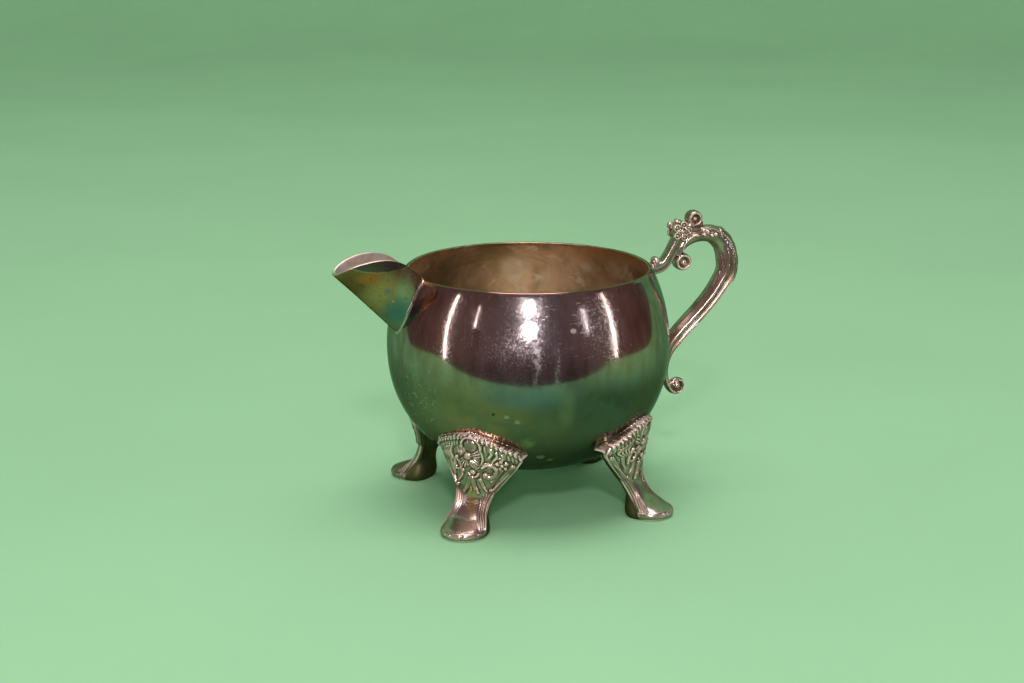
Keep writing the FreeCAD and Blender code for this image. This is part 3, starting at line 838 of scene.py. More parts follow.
def foot_flowers(x, y, add):
    """The large flower's fluted petals and the small flower's round ones."""
    for turn in FLOWER_PETALS:
        angle = math.radians(turn)
        around = np.arctan2(y - FLOWER[1], x - FLOWER[0]) - angle
        around = (around + math.pi) % (2 * math.pi) - math.pi
        flutes = 0.78 + 0.22 * np.cos(around * 26)
        add(dome(x, y, polar(FLOWER, 2.75, angle), (2.0, 1.7), angle) * flutes, 0.95)
    for k in range(5):
        angle = 2 * math.pi * k / 5 + 0.4
        add(dome(x, y, polar(SMALL_FLOWER, 1.35, angle), (0.85, 0.6), angle), 0.65)


def foot_top_border(x, y, add):
    """Bead row, rope band and gadroons below a foot's top edge, returning the distance from it."""
    below_top = (foot_top(x * 0.95) - y) * 0.93
    add(ridge(below_top, 0.9, 0.95) ** 0.5 * (0.72 + 0.28 * np.cos(np.abs(x) * 2 * math.pi / 1.35)), 0.75)
    beads = ridge(below_top, 0.35, 0.42) * np.clip(np.cos(np.abs(x) * 2 * math.pi / 1.9) * 1.4, 0, 1)
    add(np.sqrt(beads), 0.95)
    add(ridge(below_top, 2.9, 1.25) * np.abs(np.cos(np.abs(x) * math.pi / 1.15)) ** 0.6, 0.42)
    return below_top


def foot_side_leaves(x, y, add):
    """The rows of short leaves under the two ends of the top border."""
    for k in range(4):
        start = (-6.6 - 1.15 * k, 26.6 - 0.55 * k)
        end = (-6.6 - 0.65 * k, 21.9 - 0.1 * k)
        add(stroke(x, y, [start, (start[0] - 1.0, (start[1] + end[1]) / 2), end], (0.55, 0.4)), 0.7)
    for k in range(3):
        start = (6.3 + 1.7 * k, 27.2 - 0.75 * k)
        end = (5.6 + 1.6 * k, 24.6 - 0.55 * k)
        bow = ((start[0] + end[0]) / 2 + 0.5, (start[1] + end[1]) / 2)
        add(stroke(x, y, [start, bow, end], (0.6, 0.4)), 0.6)


def foot_relief(x, y, edge_x):
    """Height of the cast ornament in millimetres over the foot's front."""
    height = np.zeros_like(x)

    def add(shape, amount):
        np.maximum(height, shape * amount, out=height)

    below_top = foot_top_border(x, y, add)
    for place, radius, rise in BOSSES:
        add(dome(x, y, place, radius), rise)
    for middle, radius, width, (first, last), rise in CURLS:
        path = [polar(middle, radius, angle) for angle in np.radians(np.linspace(first, last, 9))]
        add(stroke(x, y, path, width), rise)
    for path, width, rise in LEAVES:
        add(stroke(x, y, path, width), rise)
    for side in (-1, 1):
        for path, width, rise in BORDER_LEAVES:
            add(stroke(x * side, y, path, width), rise)
        add(dome(x * side, y, (5.9, 13.6), 0.85), 0.9)
    foot_flowers(x, y, add)
    foot_side_leaves(x, y, add)

    edge = edge_x - np.abs(x)
    low = np.clip((13.6 - y) / 2.0, 0, 1) * np.clip((y - 1.2) / 1.6, 0, 1)
    add(hill(edge, 0.75, 0.30) * low, 0.65)
    for k in range(3):
        add(hill(edge, 1.55 + 0.7 * k, 0.24) * low, 0.38 - 0.08 * k)
    add(hill(edge, 0.5, 0.45) * np.clip((y - 12.0) / 1.5, 0, 1) * np.clip(below_top / 1.2, 0, 1), 0.75)
    add(ridge(y, 1.7, 1.0) * (1 - 0.55 * hill(np.abs(x), 2.6, 0.45)), 0.35)
    ankle = np.clip((14.0 - y) / 3.0, 0, 1) * np.clip((y - 2.6) / 3.0, 0, 1)
    return height - 0.9 * ridge(x, 0.0, np.maximum(edge_x - 1.6, 1.0)) * ankle


def foot_surfaces(rows, cols):
    """Front and back grids of a foot pointing along +X."""
    v = np.linspace(0, 1, rows)[:, None]
    w = np.linspace(-1, 1, cols)[None, :]
    top = np.full((rows, cols), FOOT_PEAK)
    for _ in range(40):
        half = section_sizes(top)[0]
        top = 0.7 * top + 0.3 * foot_top(w * half)
    z = v * top
    half, side, front, back = section_sizes(z)
    sag = front - side
    radius = (half ** 2 + sag ** 2) / (2 * sag)
    reach = np.arcsin(np.clip(half / radius, -1, 1))
    reach = np.where(sag > radius, math.pi - reach, reach)
    angle = w * reach
    outer = np.stack([front - radius + radius * np.cos(angle), radius * np.sin(angle), z], -1)
    thickness = np.minimum(PLATE_THICKNESS, 0.4 * (front - back) + 1.2)
    plate = np.clip((z - PLATE_FROM) / PLATE_BLEND, 0, 1)
    flat_back = back + (side - 1.3 - back) * np.abs(w) ** 2.2
    curved_back = outer[..., 0] - thickness * (1 - 0.25 * np.abs(w) ** 4)
    inner_x = flat_back * (1 - plate) + np.minimum(curved_back, outer[..., 0] - 0.9) * plate
    inner = np.stack([inner_x, outer[..., 1] * (0.97 - 0.02 * plate), z], -1)
    return outer, inner, angle * radius, np.broadcast_to(reach * radius, z.shape)


def hug_bowl(points, embed):
    """Keep points from passing further than a little into the bowl's wall."""
    x, y, z = points[..., 0], points[..., 1], points[..., 2]
    radius = np.hypot(x, y)
    least = bowl_radius(z) - embed
    near = (z > BOTTOM_HEIGHT + 1) & (radius < least)
    scale = np.where(near, least / np.maximum(radius, 1e-6), 1.0)
    return np.stack([x * scale, y * scale, z], -1)


def border_share(points):
    """How far each point belongs to a foot's rolled top border, one at the very edge."""
    y, z = points[..., 1], points[..., 2]
    left = np.clip((foot_top(y) - z) / BORDER_WIDTH, 0, 1)
    return np.where(z > BORDER_FROM, 1 - np.sqrt(1 - (1 - left) ** 2), 0.0)


def roll_to_bowl(points, share):
    """Bend the top border of a foot's front back until it meets the bowl."""
    x, y, z = points[..., 0], points[..., 1], points[..., 2]
    radius = np.hypot(x, y)
    target = bowl_radius(z) + 0.2
    moved = radius + share * (np.minimum(target, radius) - radius)
    return np.stack([np.where(share > 0, np.sqrt(np.maximum(moved ** 2 - y ** 2, 1.0)), x), y, z], -1)


def foot_shells():
    """Front, with its ornament, and back of a foot that stands straight."""
    rows, cols = ((200, 156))
    outer, inner, across, edge = foot_surfaces(rows, cols)
    relief = foot_relief(across, outer[..., 2], edge)
    normal = np.cross(np.gradient(outer, axis=1), np.gradient(outer, axis=0))
    normal /= np.maximum(np.linalg.norm(normal, axis=-1, keepdims=True), 1e-9)
    normal *= np.sign(normal[..., :1].mean())
    margin = np.clip((outer[..., 2] - 0.15) / 0.8, 0, 1)
    return outer + normal * (relief * margin)[..., None], inner


def foot_points(outer, inner, number):
    """Points and faces of one foot, in its own plane."""
    rows, cols = outer.shape[:2]
    outer = roll_to_bowl(leaning(outer, number), border_share(outer))
    outer = hug_bowl(outer, -FRONT_CLEARANCE)
    inner = hug_bowl(leaning(inner, number), BACK_EMBED)
    inner[..., 0] = np.minimum(inner[..., 0], outer[..., 0] - LEAST_THICKNESS)
    flat = np.vstack([outer.reshape(-1, 3), inner.reshape(-1, 3)])
    size = rows * cols
    faces = grid_faces(rows, cols) + grid_faces(rows, cols, first=size)
    ring = ([(0, c) for c in range(cols)] + [(r, cols - 1) for r in range(1, rows)]
            + [(rows - 1, c) for c in range(cols - 2, -1, -1)] + [(r, 0) for r in range(rows - 2, 0, -1)])
    border = [r * cols + c for r, c in ring]
    for k, index in enumerate(border):
        after = border[(k + 1) % len(border)]
        faces.append([index, after, after + size, index + size])
    return flat, faces


def leaning(points, number):
    """The upper part of a foot tilted sideways, as it was soldered on."""
    share = FOOT_LEAN.get(number, 0.0) * np.clip((points[..., 2] - LEAN_FROM) / LEAN_BLEND, 0, 1)
    moved = points.copy()
    moved[..., 1] += share * points[..., 2]
    moved[..., 2] -= share * points[..., 1]
    return moved


def foot_angle(number):
    """Azimuth of a foot."""
    return FIRST_FOOT_ANGLE + (number - 1) * 2 * math.pi / FOOT_COUNT


def foot_pieces():
    """Four castings of the same foot around the bowl."""
    outer, inner = foot_shells()
    pieces = []
    for number in range(1, FOOT_COUNT + 1):
        points, faces = foot_points(outer, inner, number)
        placed = turn_about_z(points, foot_angle(number))
        foot = closed_piece("scroll_foot_%d" % number, placed, faces, sharp_above=70)
        store_cavity(foot, 10, dark_from=len(points) // 2)
        pieces.append(foot)
    return pieces


# ---------------------------------------------------------------- solder at handle and feet

FILLET_SPREAD = 0.9
BEAD_SIZE = 0.30
BEAD_RIPPLE = 0.14
BEAD_PITCH = 1.25


def wall_fillet(name, height, half_across, half_up, rise):
    """A collar of solder around a root of the handle on the bowl's wall."""
    turn = full_turn(72)
    ragged = 1 + smooth_wobble(around_axis(6.0, turn, 0.0), 7.0, 0.06, 31)

    def ring(grow, lift):
        z = height + (half_up + grow) * np.sin(turn)
        radius = bowl_radius(z) + lift
        return around_axis(radius, (half_across + grow) * np.cos(turn) / radius, z)

    rows = []
    for u in np.linspace(0, 1, 7):
        rows.append(ring(FILLET_SPREAD * (1 - u) ** 1.8 * ragged, rise * u ** 1.5 - 0.12))
    rows += [ring(-0.6, rise * 0.8), ring(-0.6, -0.35)]
    return closed_piece(name, np.stack(rows), grid_faces(len(rows), len(turn), True, True))


def foot_bead(name, number):
    """Solder drawn out along the top edge of a foot's plate."""
    along = np.linspace(-1, 1, 180)
    side = along * (FOOT_SHOULDER[0] - 2.2)
    z = foot_top(side) - 0.05
    radius = bowl_radius(z) + 0.3
    middle = leaning(around_axis(radius, np.arcsin(np.clip(side / radius, -1, 1)), z), number)
    middle[:, :2] *= ((bowl_radius(middle[:, 2]) + 0.15) / np.hypot(middle[:, 0], middle[:, 1]))[:, None]
    tangent = normalized(np.gradient(middle, axis=0))
    normal = normalized(middle - [0, 0, EQUATOR_HEIGHT])
    up = np.cross(tangent, normal)
    size = BEAD_SIZE + BEAD_RIPPLE * np.cos(2 * math.pi * side / BEAD_PITCH)
    size = size + smooth_wobble(middle, 4.0, 0.05, 41)
    size = (size * np.clip((1 - np.abs(along)) / 0.08, 0.3, 1))[:, None]
    rows = []
    for turn in full_turn(8):
        rows.append(middle + normal * (size * 0.8 * math.cos(turn)) + up * (size * math.sin(turn)))
    points = turn_about_z(hug_bowl(np.stack(rows), 0.45), foot_angle(number))
    return closed_piece(name, *capped_strip(points))


# ---------------------------------------------------------------- materials

class Graph:
    """A node material with a Principled shader, and short forms for the nodes used below."""

    def __init__(self, name, metallic=1.0):
        self.material = bpy.data.materials.new(name)
        self.material.use_nodes = True
        self.nodes, self.links = self.material.node_tree.nodes, self.material.node_tree.links
        self.nodes.clear()
        self.shader = self.add("BsdfPrincipled", {"Metallic": metallic})
        self.put(self.add("OutputMaterial").inputs["Surface"], self.shader.outputs["BSDF"])
        self.place = self.add("TexCoord").outputs["Object"]

    def add(self, kind, inputs=None, **settings):
        """A new node with its settings and its input values or links."""
        node = self.nodes.new("ShaderNode" + kind)
        for key, value in settings.items():
            setattr(node, key, value)
        for key, value in (inputs or {}).items():
            self.put(node.inputs[key], value)
        return node

    def put(self, socket, value):
        """Link or set a socket; a colour of three numbers is opaque."""
        if isinstance(value, bpy.types.NodeSocket):
            self.links.new(value, socket)
        else:
            socket.default_value = (*value, 1.0) if socket.type == "RGBA" else value

    def mapped(self, scale, rotation=(0.0, 0.0, 0.0), location=(0.0, 0.0, 0.0)):
        """The object's coordinates, scaled, turned and moved."""
        inputs = {"Vector": self.place, "Scale": scale, "Rotation": rotation, "Location": location}
        return self.add("Mapping", inputs).outputs["Vector"]

    def noise(self, scale, detail=4.0, rough=0.55, vector=None, distortion=0.0):
        inputs = {"Scale": scale, "Detail": detail, "Roughness": rough, "Distortion": distortion}
        return self.add("TexNoise", {"Vector": vector or self.place, **inputs}).outputs["Fac"]

    def ramp(self, value, low, high, out_low=0.0, out_high=1.0):
        inputs = {"Value": value, "From Min": low, "From Max": high, "To Min": out_low, "To Max": out_high}
        return self.add("MapRange", inputs, interpolation_type="SMOOTHSTEP").outputs["Result"]

    def math(self, kind, a, b):
        return self.add("Math", {0: a, 1: b}, operation=kind).outputs[0]

    def plus(self, a, b):
        return self.math("ADD", a, b)

    def times(self, a, b):
        return self.math("MULTIPLY", a, b)

    def larger(self, a, b):
        return self.math("MAXIMUM", a, b)

    def mix(self, share, a, b):
        return self.add("Mix", {0: share, 6: a, 7: b}, data_type="RGBA").outputs[2]

    def height(self):
        return self.add("SeparateXYZ", {0: self.place}).outputs["Z"]

    def blob(self, at, radii, soft=0.35):
        """One inside an oval about a place in millimetres, fading to nothing at its edge."""
        size = np.broadcast_to(radii, 3) * MM
        vector = self.mapped(tuple(1 / size), location=tuple(-(np.asarray(at) + AXIS) * MM / size))
        length = self.add("VectorMath", {0: vector}, operation="LENGTH").outputs["Value"]
        return self.ramp(length, 1 + soft, 1 - soft)

    def tint(self, color, marks):
        """Lay marks over a colour: each is (mask, share, colour)."""
        for mask, share, mark in marks:
            color = self.mix(self.times(mask, share), color, mark)
        return color

    def spots(self, color, place, rows):
        """Lay ovals over a colour: each is the numbers that place them, radii, softness, share, colour."""
        return self.tint(color, [(self.blob(place(*at), radii, soft), share, mark)
                                 for at, radii, soft, share, mark in rows])

    def attribute(self, name):
        return self.add("Attribute", attribute_name=name).outputs["Fac"]

    def bump(self, value, strength, distance):
        inputs = {"Strength": strength, "Distance": distance, "Height": value}
        return self.add("Bump", inputs).outputs["Normal"]

    def finish(self, color, roughness, normal, **others):
        """Connect the shader. Others are more of its sockets, with _ for a space in a name."""
        inputs = {"Base Color": color, "Roughness": roughness, "Normal": normal}
        inputs.update((key.replace("_", " "), value) for key, value in others.items())
        for key, value in inputs.items():
            self.put(self.shader.inputs[key], value)
        return self.material


def on_bowl(azimuth, height):
    """A place on the bowl's outside, from its azimuth in degrees and its height."""
    radius = float(bowl_radius(height))
    turn = math.radians(azimuth)
    return radius * math.cos(turn), radius * math.sin(turn), height


def on_spout(reach, height):
    """A place on the near side of the spout."""
    return -reach, -5.0, height


def scratches(g, scale, turn):
    """Fine hairlines in one direction."""
    return g.ramp(g.noise(1.0, 3.0, 0.6, g.mapped((scale, scale * 20, scale * 20), turn)), 0.60, 0.80)


# Tarnish on the upper wall: (azimuth, height), radii, softness, share, colour
UPPER_TARNISH = [
    ((-70, 62), (15, 15, 16), 0.7, 0.8, (0.90, 0.46, 0.26)),
    ((-135, 63), (17, 17, 13), 0.7, 0.8, (0.94, 0.56, 0.36)),
    ((-108, 60), (16, 16, 12), 0.7, 0.6, (0.86, 0.76, 0.88)),
    ((-108, 51), (18, 18, 5), 0.7, 0.75, (0.26, 0.20, 0.24)),
    ((-80, 63), (8, 8, 12), 0.8, 0.6, (1.0, 0.82, 0.76)),
]

# Colours on the lower wall, in the same form: tarnish, and in its first two rows a darkening of the front
# toward the handle
LOWER_WALL_MARKS = [
    ((-78, 47), (17, 17, 12), 0.6, 0.9, (0.08, 0.10, 0.10)),
    ((-60, 36), (26, 26, 20), 0.7, 0.75, (0.11, 0.11, 0.09)),
    ((-108, 46), (13, 13, 5), 0.6, 0.8, (0.24, 0.30, 0.44)),
    ((-70, 51), (9, 9, 6), 0.6, 0.6, (0.14, 0.26, 0.34)),
    ((-98, 24), (24, 24, 10), 0.6, 0.6, (0.20, 0.19, 0.15)),
    ((-165, 40), (16, 16, 16), 0.7, 0.6, (0.34, 0.31, 0.23)),
    ((-93, 40), (2.2, 2.2, 7), 0.7, 0.55, (0.52, 0.40, 0.24)),
]

# Stains on the lining: place, radii, softness, share, colour
INSIDE_SPOTS = [
    ((8, 38, 64), (5, 5, 5), 0.5, 0.6, (0.90, 0.82, 0.74)),
    ((17, 35, 61), (3, 3, 3), 0.5, 0.7, (0.98, 0.88, 0.80)),
    ((-6, 39, 60), 2.6, 0.5, 0.7, (0.98, 0.88, 0.80)),
    ((29, 28, 66), 1.8, 0.5, 0.7, (0.98, 0.88, 0.80)),
    ((-15, 36, 66), (5, 5, 6), 0.7, 0.6, (0.34, 0.30, 0.18)),
]

# Tarnish on the spout: (reach, height), radii, softness, share, colour
SPOUT_TARNISH = [
    ((57.0, 73.4), (6.0, 30.0, 5.0), 0.7, 0.85, (0.32, 0.12, 0.06)),
    ((47.5, 71.5), (5.5, 30.0, 5.0), 0.7, 0.9, (0.82, 0.46, 0.24)),
    ((52.8, 75.8), (3.4, 30.0, 1.8), 0.7, 0.85, (0.95, 0.26, 0.08)),
    ((41.4, 72.0), (2.6, 30.0, 5.0), 0.7, 0.8, (0.80, 0.72, 0.56)),
    ((43.6, 64.6), (4.4, 30.0, 4.6), 0.7, 0.85, (0.12, 0.30, 0.38)),
    ((47.3, 71.5), (1.0, 30.0, 1.0), 0.4, 0.75, (0.36, 0.34, 0.44)),
    ((45.5, 68.3), (0.35, 30.0, 0.3), 0.4, 0.9, (0.85, 0.82, 0.70)),
]

# Dried drops on the bowl: azimuth, height, radius
WATER_SPOTS = [(-116.8, 38.0, 0.8), (-112.6, 36.4, 0.8), (-102.1, 23.1, 1.3),
               (-96.5, 21.6, 0.9), (-90.3, 63.5, 0.9), (-85.4, 62.8, 0.5)]

# Tint of the metal where it is seen at a grazing angle
PLATE_EDGE_TINT = (0.30, 0.32, 0.28)
CAST_EDGE_TINT = (0.35, 0.33, 0.30)


def bowl_color(g, clouds, patchy):
    """Violet-brown above, olive and teal below, and a pinker brim that is a painted highlight along the
    lip.
    """
    streaks = g.noise(1.0, 4.0, 0.6, g.mapped((230.0, 230.0, 50.0)))
    upper = g.mix(g.ramp(clouds, 0.40, 0.62), (0.70, 0.58, 0.60), (0.44, 0.28, 0.25))
    upper = g.spots(upper, on_bowl, UPPER_TARNISH)
    upper = g.tint(upper, [
        (g.ramp(streaks, 0.42, 0.70), 0.45, (0.98, 0.82, 0.82)),
        (g.ramp(streaks, 0.48, 0.30), 0.45, (0.30, 0.20, 0.19)),
    ])
    olive = g.mix(g.ramp(clouds, 0.38, 0.62), (0.60, 0.35, 0.21), (0.34, 0.25, 0.15))
    olive = g.spots(olive, on_bowl, LOWER_WALL_MARKS)
    olive = g.mix(g.times(g.ramp(patchy, 0.46, 0.66), 0.5), olive, (0.20, 0.22, 0.20))
    color = g.mix(g.ramp(g.height(), 0.056, 0.040), upper, olive)
    # painted highlight: the lip is tinted pink for the pinkish line of light along it
    brim = g.ramp(g.height(), RIM_HEIGHT * MM - 0.0005, RIM_HEIGHT * MM - 0.0002)
    return g.mix(brim, color, (0.85, 0.42, 0.36))


def bowl_outside_material():
    """Polished plate with a tarnish film, water spots, run marks, hairlines and worn patches."""
    g = Graph("bowl_plate")
    fine = g.noise(3200.0, 2.0, 0.6)
    patchy = g.noise(90.0, 4.0, 0.6, distortion=0.5)
    color = bowl_color(g, g.noise(38.0, 5.0, 0.6), patchy)
    chips = g.ramp(g.noise(330.0, 1.0, 0.5), 0.71, 0.76)
    left_side = g.blob(on_bowl(-158, 41), (8, 8, 12), 0.5)
    specks = g.times(g.ramp(g.noise(760.0, 1.0, 0.5), 0.64, 0.70), left_side)
    pale = g.larger(g.times(chips, 0.10), specks)
    for azimuth, height, size in WATER_SPOTS:
        pale = g.larger(pale, g.blob(on_bowl(azimuth, height), (size, size, size * 0.75), 0.3))
    color = g.mix(g.times(pale, 0.7), color, (0.72, 0.66, 0.52))
    bloom = g.times(g.blob(on_bowl(-107.8, 28.7), (2.4, 2.4, 2.0), 0.7), g.ramp(patchy, 0.40, 0.52))
    dark_spot = g.blob(on_bowl(-122.1, 38.7), 0.5, 0.4)
    color = g.tint(color, [(bloom, 0.8, (0.60, 0.52, 0.30)), (dark_spot, 0.85, (0.05, 0.05, 0.05))])
    lines = g.larger(scratches(g, 150.0, (0.2, 0.9, 0.4)), scratches(g, 120.0, (1.1, 0.1, 2.0)))
    runs = g.blob(on_bowl(-105, 54), (1.1, 1.1, 8), 0.8)
    runs = g.larger(runs, g.blob(on_bowl(-97, 53), (0.8, 0.8, 6), 0.8))
    runs = g.times(runs, g.ramp(g.noise(260.0, 4.0, 0.7), 0.36, 0.70))
    worn = g.larger(g.blob(on_bowl(-80, 63), (7, 7, 12), 0.8), g.blob(on_bowl(-112, 57), (15, 15, 6), 0.8))
    worn = g.times(worn, g.ramp(g.noise(1500.0, 4.0, 0.75), 0.34, 0.78))
    haze = g.plus(g.times(lines, 0.22), g.times(g.ramp(fine, 0.40, 0.80), 0.16))
    haze = g.plus(haze, g.times(g.ramp(patchy, 0.45, 0.80), 0.05))
    haze = g.plus(haze, g.times(worn, 0.22))
    haze = g.plus(haze, g.times(g.larger(pale, runs), 0.35))
    color = g.mix(g.times(runs, 0.6), color, (0.70, 0.66, 0.64))
    normal = g.bump(g.plus(g.times(lines, 0.5), fine), 0.10, 0.00003)
    return g.finish(color, g.plus(0.055, haze), normal, Specular_Tint=PLATE_EDGE_TINT,
                    Coat_Weight=0.55, Coat_Roughness=0.30)


def bowl_inside_material():
    """Brown and gold tarnish with pale blotches, and a painted amber glint high on the inner wall."""
    g = Graph("bowl_lining")
    clouds = g.noise(42.0, 5.0, 0.65, distortion=0.8)
    color = g.mix(g.ramp(clouds, 0.35, 0.65), (0.86, 0.66, 0.50), (0.40, 0.30, 0.18))
    blotches = g.ramp(g.noise(110.0, 3.0, 0.6, distortion=0.4), 0.56, 0.68)
    # painted glint: amber in patches high on the inner wall
    painted_amber_glint = g.times(g.ramp(g.height(), 0.066, 0.073), g.ramp(clouds, 0.55, 0.40))
    color = g.tint(color, [(blotches, 0.85, (0.96, 0.84, 0.74))])
    color = g.spots(color, lambda *place: place, INSIDE_SPOTS)
    color = g.tint(color, [(painted_amber_glint, 0.45, (0.95, 0.50, 0.20))])
    rough = g.ramp(g.noise(60.0, 4.0, 0.6), 0.3, 0.7, 0.28, 0.52)
    return g.finish(color, rough, g.bump(g.noise(400.0), 0.12, 0.0001))


def spout_outside_material():
    """Tarnish in soft patches: brown toward the lip, olive-gold in the middle, teal at the root; near the
    top, a painted reflection of a dark band over a bright line.
    """
    g = Graph("spout_plate")
    clouds = g.noise(150.0, 4.0, 0.6, distortion=0.4)
    color = g.mix(g.ramp(clouds, 0.35, 0.65), (0.62, 0.40, 0.20), (0.44, 0.25, 0.12))
    color = g.spots(color, on_spout, SPOUT_TARNISH)
    # painted reflection: a dark band along the top of the spout with a bright gold line under it
    band = g.blob(on_spout(49.2, 80.5), (9.6, 30.0, 2.9), 0.08)
    painted_line_outer_edge = g.blob(on_spout(49.2, 80.5), (10.0, 30.0, 3.15), 0.07)
    color = g.tint(color, [
        (band, 0.9, (0.20, 0.15, 0.16)),
        (g.math("SUBTRACT", painted_line_outer_edge, band), 0.6, (1.0, 0.75, 0.42)),
        (g.ramp(g.noise(700.0, 1.0, 0.5), 0.66, 0.74), 0.5, (0.14, 0.13, 0.08)),
    ])
    rough = g.ramp(g.noise(240.0), 0.3, 0.7, 0.16, 0.30)
    return g.finish(color, rough, g.bump(g.noise(300.0), 0.10, 0.0001), Specular_Tint=PLATE_EDGE_TINT)


def spout_inside_material():
    """Pinkish plate, bright and a little brown in patches."""
    g = Graph("spout_lining")
    color = g.mix(g.ramp(g.noise(160.0, 4.0, 0.6), 0.40, 0.72), (1.0, 0.86, 0.84), (0.86, 0.58, 0.44))
    rough = g.ramp(g.noise(220.0), 0.3, 0.7, 0.42, 0.54)
    return g.finish(color, rough, g.bump(g.noise(420.0), 0.12, 0.0001))


def cast_material():
    """Bright on the raised work, where its pink-white colour and lower metallic are a painted highlight;
    dark green-brown in the recesses; a painted gold glint on one ankle.
    """
    g = Graph("cast_plate")
    hollow = g.ramp(g.attribute("cavity"), 0.0, -0.09)
    # ridges: the raised work, which the lines below paint as a highlight
    ridges = g.ramp(g.attribute("cavity"), 0.02, 0.11)
    clouds = g.noise(130.0, 4.0, 0.6)
    bright = g.mix(g.ramp(clouds, 0.38, 0.66), (0.88, 0.66, 0.62), (0.48, 0.30, 0.25))
    bright = g.tint(bright, [
        # painted glint: a gold spot on the ankle of the third foot
        (g.blob((-27.4, -28.4, 10.0), (1.9, 1.9, 4.2), 0.7), 0.95, (1.0, 0.62, 0.26)),
        # painted highlight: pink-white colour on the raised work
        (ridges, 0.95, (1.0, 0.70, 0.67)),
    ])
    color = g.mix(g.times(hollow, 0.92), bright, (0.15, 0.14, 0.05))
    rough = g.plus(g.ramp(clouds, 0.3, 0.7, 0.20, 0.32), g.times(hollow, 0.22))
    # painted highlight: less metal on the raised work lets the lamps light it from every side
    return g.finish(color, rough, g.bump(g.noise(500.0), 0.18, 0.0001), Specular_Tint=CAST_EDGE_TINT,
                    Metallic=g.math("SUBTRACT", 0.96, g.times(ridges, 0.62)))


def solder_material():
    """Bright, slightly uneven solder."""
    g = Graph("bright_solder")
    color = g.mix(g.ramp(g.noise(200.0), 0.35, 0.65), (1.0, 0.84, 0.80), (0.78, 0.60, 0.54))
    rough = g.ramp(g.noise(350.0), 0.3, 0.7, 0.18, 0.34)
    return g.finish(color, rough, g.bump(g.noise(600.0), 0.3, 0.0001))


def give(piece, *materials):
    """Put materials on a piece."""
    piece.data.materials.clear()
    for material in materials:
        piece.data.materials.append(material)


def mark_inside(bowl):
    """Use the second material on the faces that look at the bowl's inside."""
    mesh = bowl.data
    for face in mesh.polygons:
        centre, normal = face.center, face.normal
        toward = centre.x * normal.x + centre.y * normal.y + (centre.z - EQUATOR_HEIGHT * MM) * normal.z
        face.material_index = 1 if toward < 0 else 0


def mark_spout_inside(spout):
    """Use the second material on the rows of faces past the spout's free edge."""
    rows = 2 * SPOUT_ALONG + SPOUT_EDGE
    for index, face in enumerate(spout.data.polygons):
        row = index // (SPOUT_ACROSS - 1)
        face.material_index = 1 if SPOUT_ALONG - 1 <= row < rows - 1 else 0


# ---------------------------------------------------------------- assembly

bowl = bowl_piece()
give(bowl, bowl_outside_material(), bowl_inside_material())
mark_inside(bowl)
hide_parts("bowl")

spout = spout_piece()
give(spout, spout_outside_material(), spout_inside_material())
mark_spout_inside(spout)
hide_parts("spout")

solder = solder_material()
seam = seam_piece()
give(seam, solder)
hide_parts("spout_seam_solder")

cast_plate = cast_material()
handle = handle_piece()
give(handle, cast_plate)
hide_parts("handle")

feet = foot_pieces()
beads = []
for number, foot in enumerate(feet, start=1):
    give(foot, cast_plate)
    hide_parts("foot_%d" % number)
    bead = foot_bead("foot_solder_bead_%d" % number, number)
    give(bead, solder)
    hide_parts("foot_solder_%d" % number)
    beads.append(bead)

upper_fillet = wall_fillet("handle_upper_fillet", 70.9, 2.0, 1.6, 0.9)
lower_fillet = wall_fillet("handle_lower_fillet", 45.6, 2.3, 2.6, 1.0)
give(upper_fillet, solder)
give(lower_fillet, solder)
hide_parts("handle_upper_solder")
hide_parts("handle_lower_solder")

for piece in [bowl, spout, seam, handle, upper_fillet, lower_fillet] + feet + beads:
    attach(piece, "root")


# ---------------------------------------------------------------- stage, camera and light

CAMERA_PLACE = Vector((-0.1760, -0.5306, 0.1944))
CAMERA_TURN = math.radians(18.35)
CAMERA_YAW = -0.009
CAMERA_PITCH = 0.2528
CAMERA_LENS = 65.1


def view_to_row(x, y, z):
    """A direction given as right, away and up of the camera's heading, in the row frame."""
    cos, sin = math.cos(CAMERA_TURN), math.sin(CAMERA_TURN)
    return Vector((x * cos + y * sin, -x * sin + y * cos, z))


camera_data = bpy.data.cameras.new("camera")
camera_data.lens = CAMERA_LENS
camera_data.clip_start = 0.01
camera = bpy.data.objects.new("camera", camera_data)
bpy.context.scene.collection.objects.link(camera)
forward = view_to_row(math.sin(CAMERA_YAW) * math.cos(CAMERA_PITCH),
                      math.cos(CAMERA_YAW) * math.cos(CAMERA_PITCH), -math.sin(CAMERA_PITCH))
camera.location = CAMERA_PLACE + Vector(AXIS * MM)
camera.rotation_euler = forward.to_track_quat("-Z", "Y").to_euler()
bpy.context.scene.camera = camera
bpy.context.scene.view_settings.view_transform = "Standard"


def stage_material(name, color):
    """Matt paper with a faint mottle."""
    g = Graph(name, metallic=0.0)
    tone = g.mix(g.ramp(g.noise(6.0), 0.3, 0.7), color, tuple(0.96 * c for c in color))
    for key, value in {"Base Color": tone, "Roughness": 0.9, "Specular IOR Level": 0.1}.items():
        g.put(g.shader.inputs[key], value)
    return g.material


def stage_piece(name, points, faces, color):
    """A piece of the studio, placed by its own points in metres from the bowl's axis."""
    mesh = bpy.data.meshes.new(name)
    mesh.from_pydata([tuple(view_to_row(*p) + Vector(AXIS * MM)) for p in points], [], faces)
    mesh.polygons.foreach_set("use_smooth", np.ones(len(faces), bool))
    piece = bpy.data.objects.new(name, mesh)
    bpy.context.scene.collection.objects.link(piece)
    give(piece, stage_material(name + "_paper", color))
    return piece


def bend(flat_end, radius, height, steps=16):
    """Profile (distance, height) of paper that lies flat, bends up and stands."""
    turns = [math.pi / 2 * k / steps for k in range(steps + 1)]
    profile = [(flat_end + radius * math.sin(turn), radius * (1 - math.cos(turn))) for turn in turns]
    return profile + [(flat_end + radius, height)]


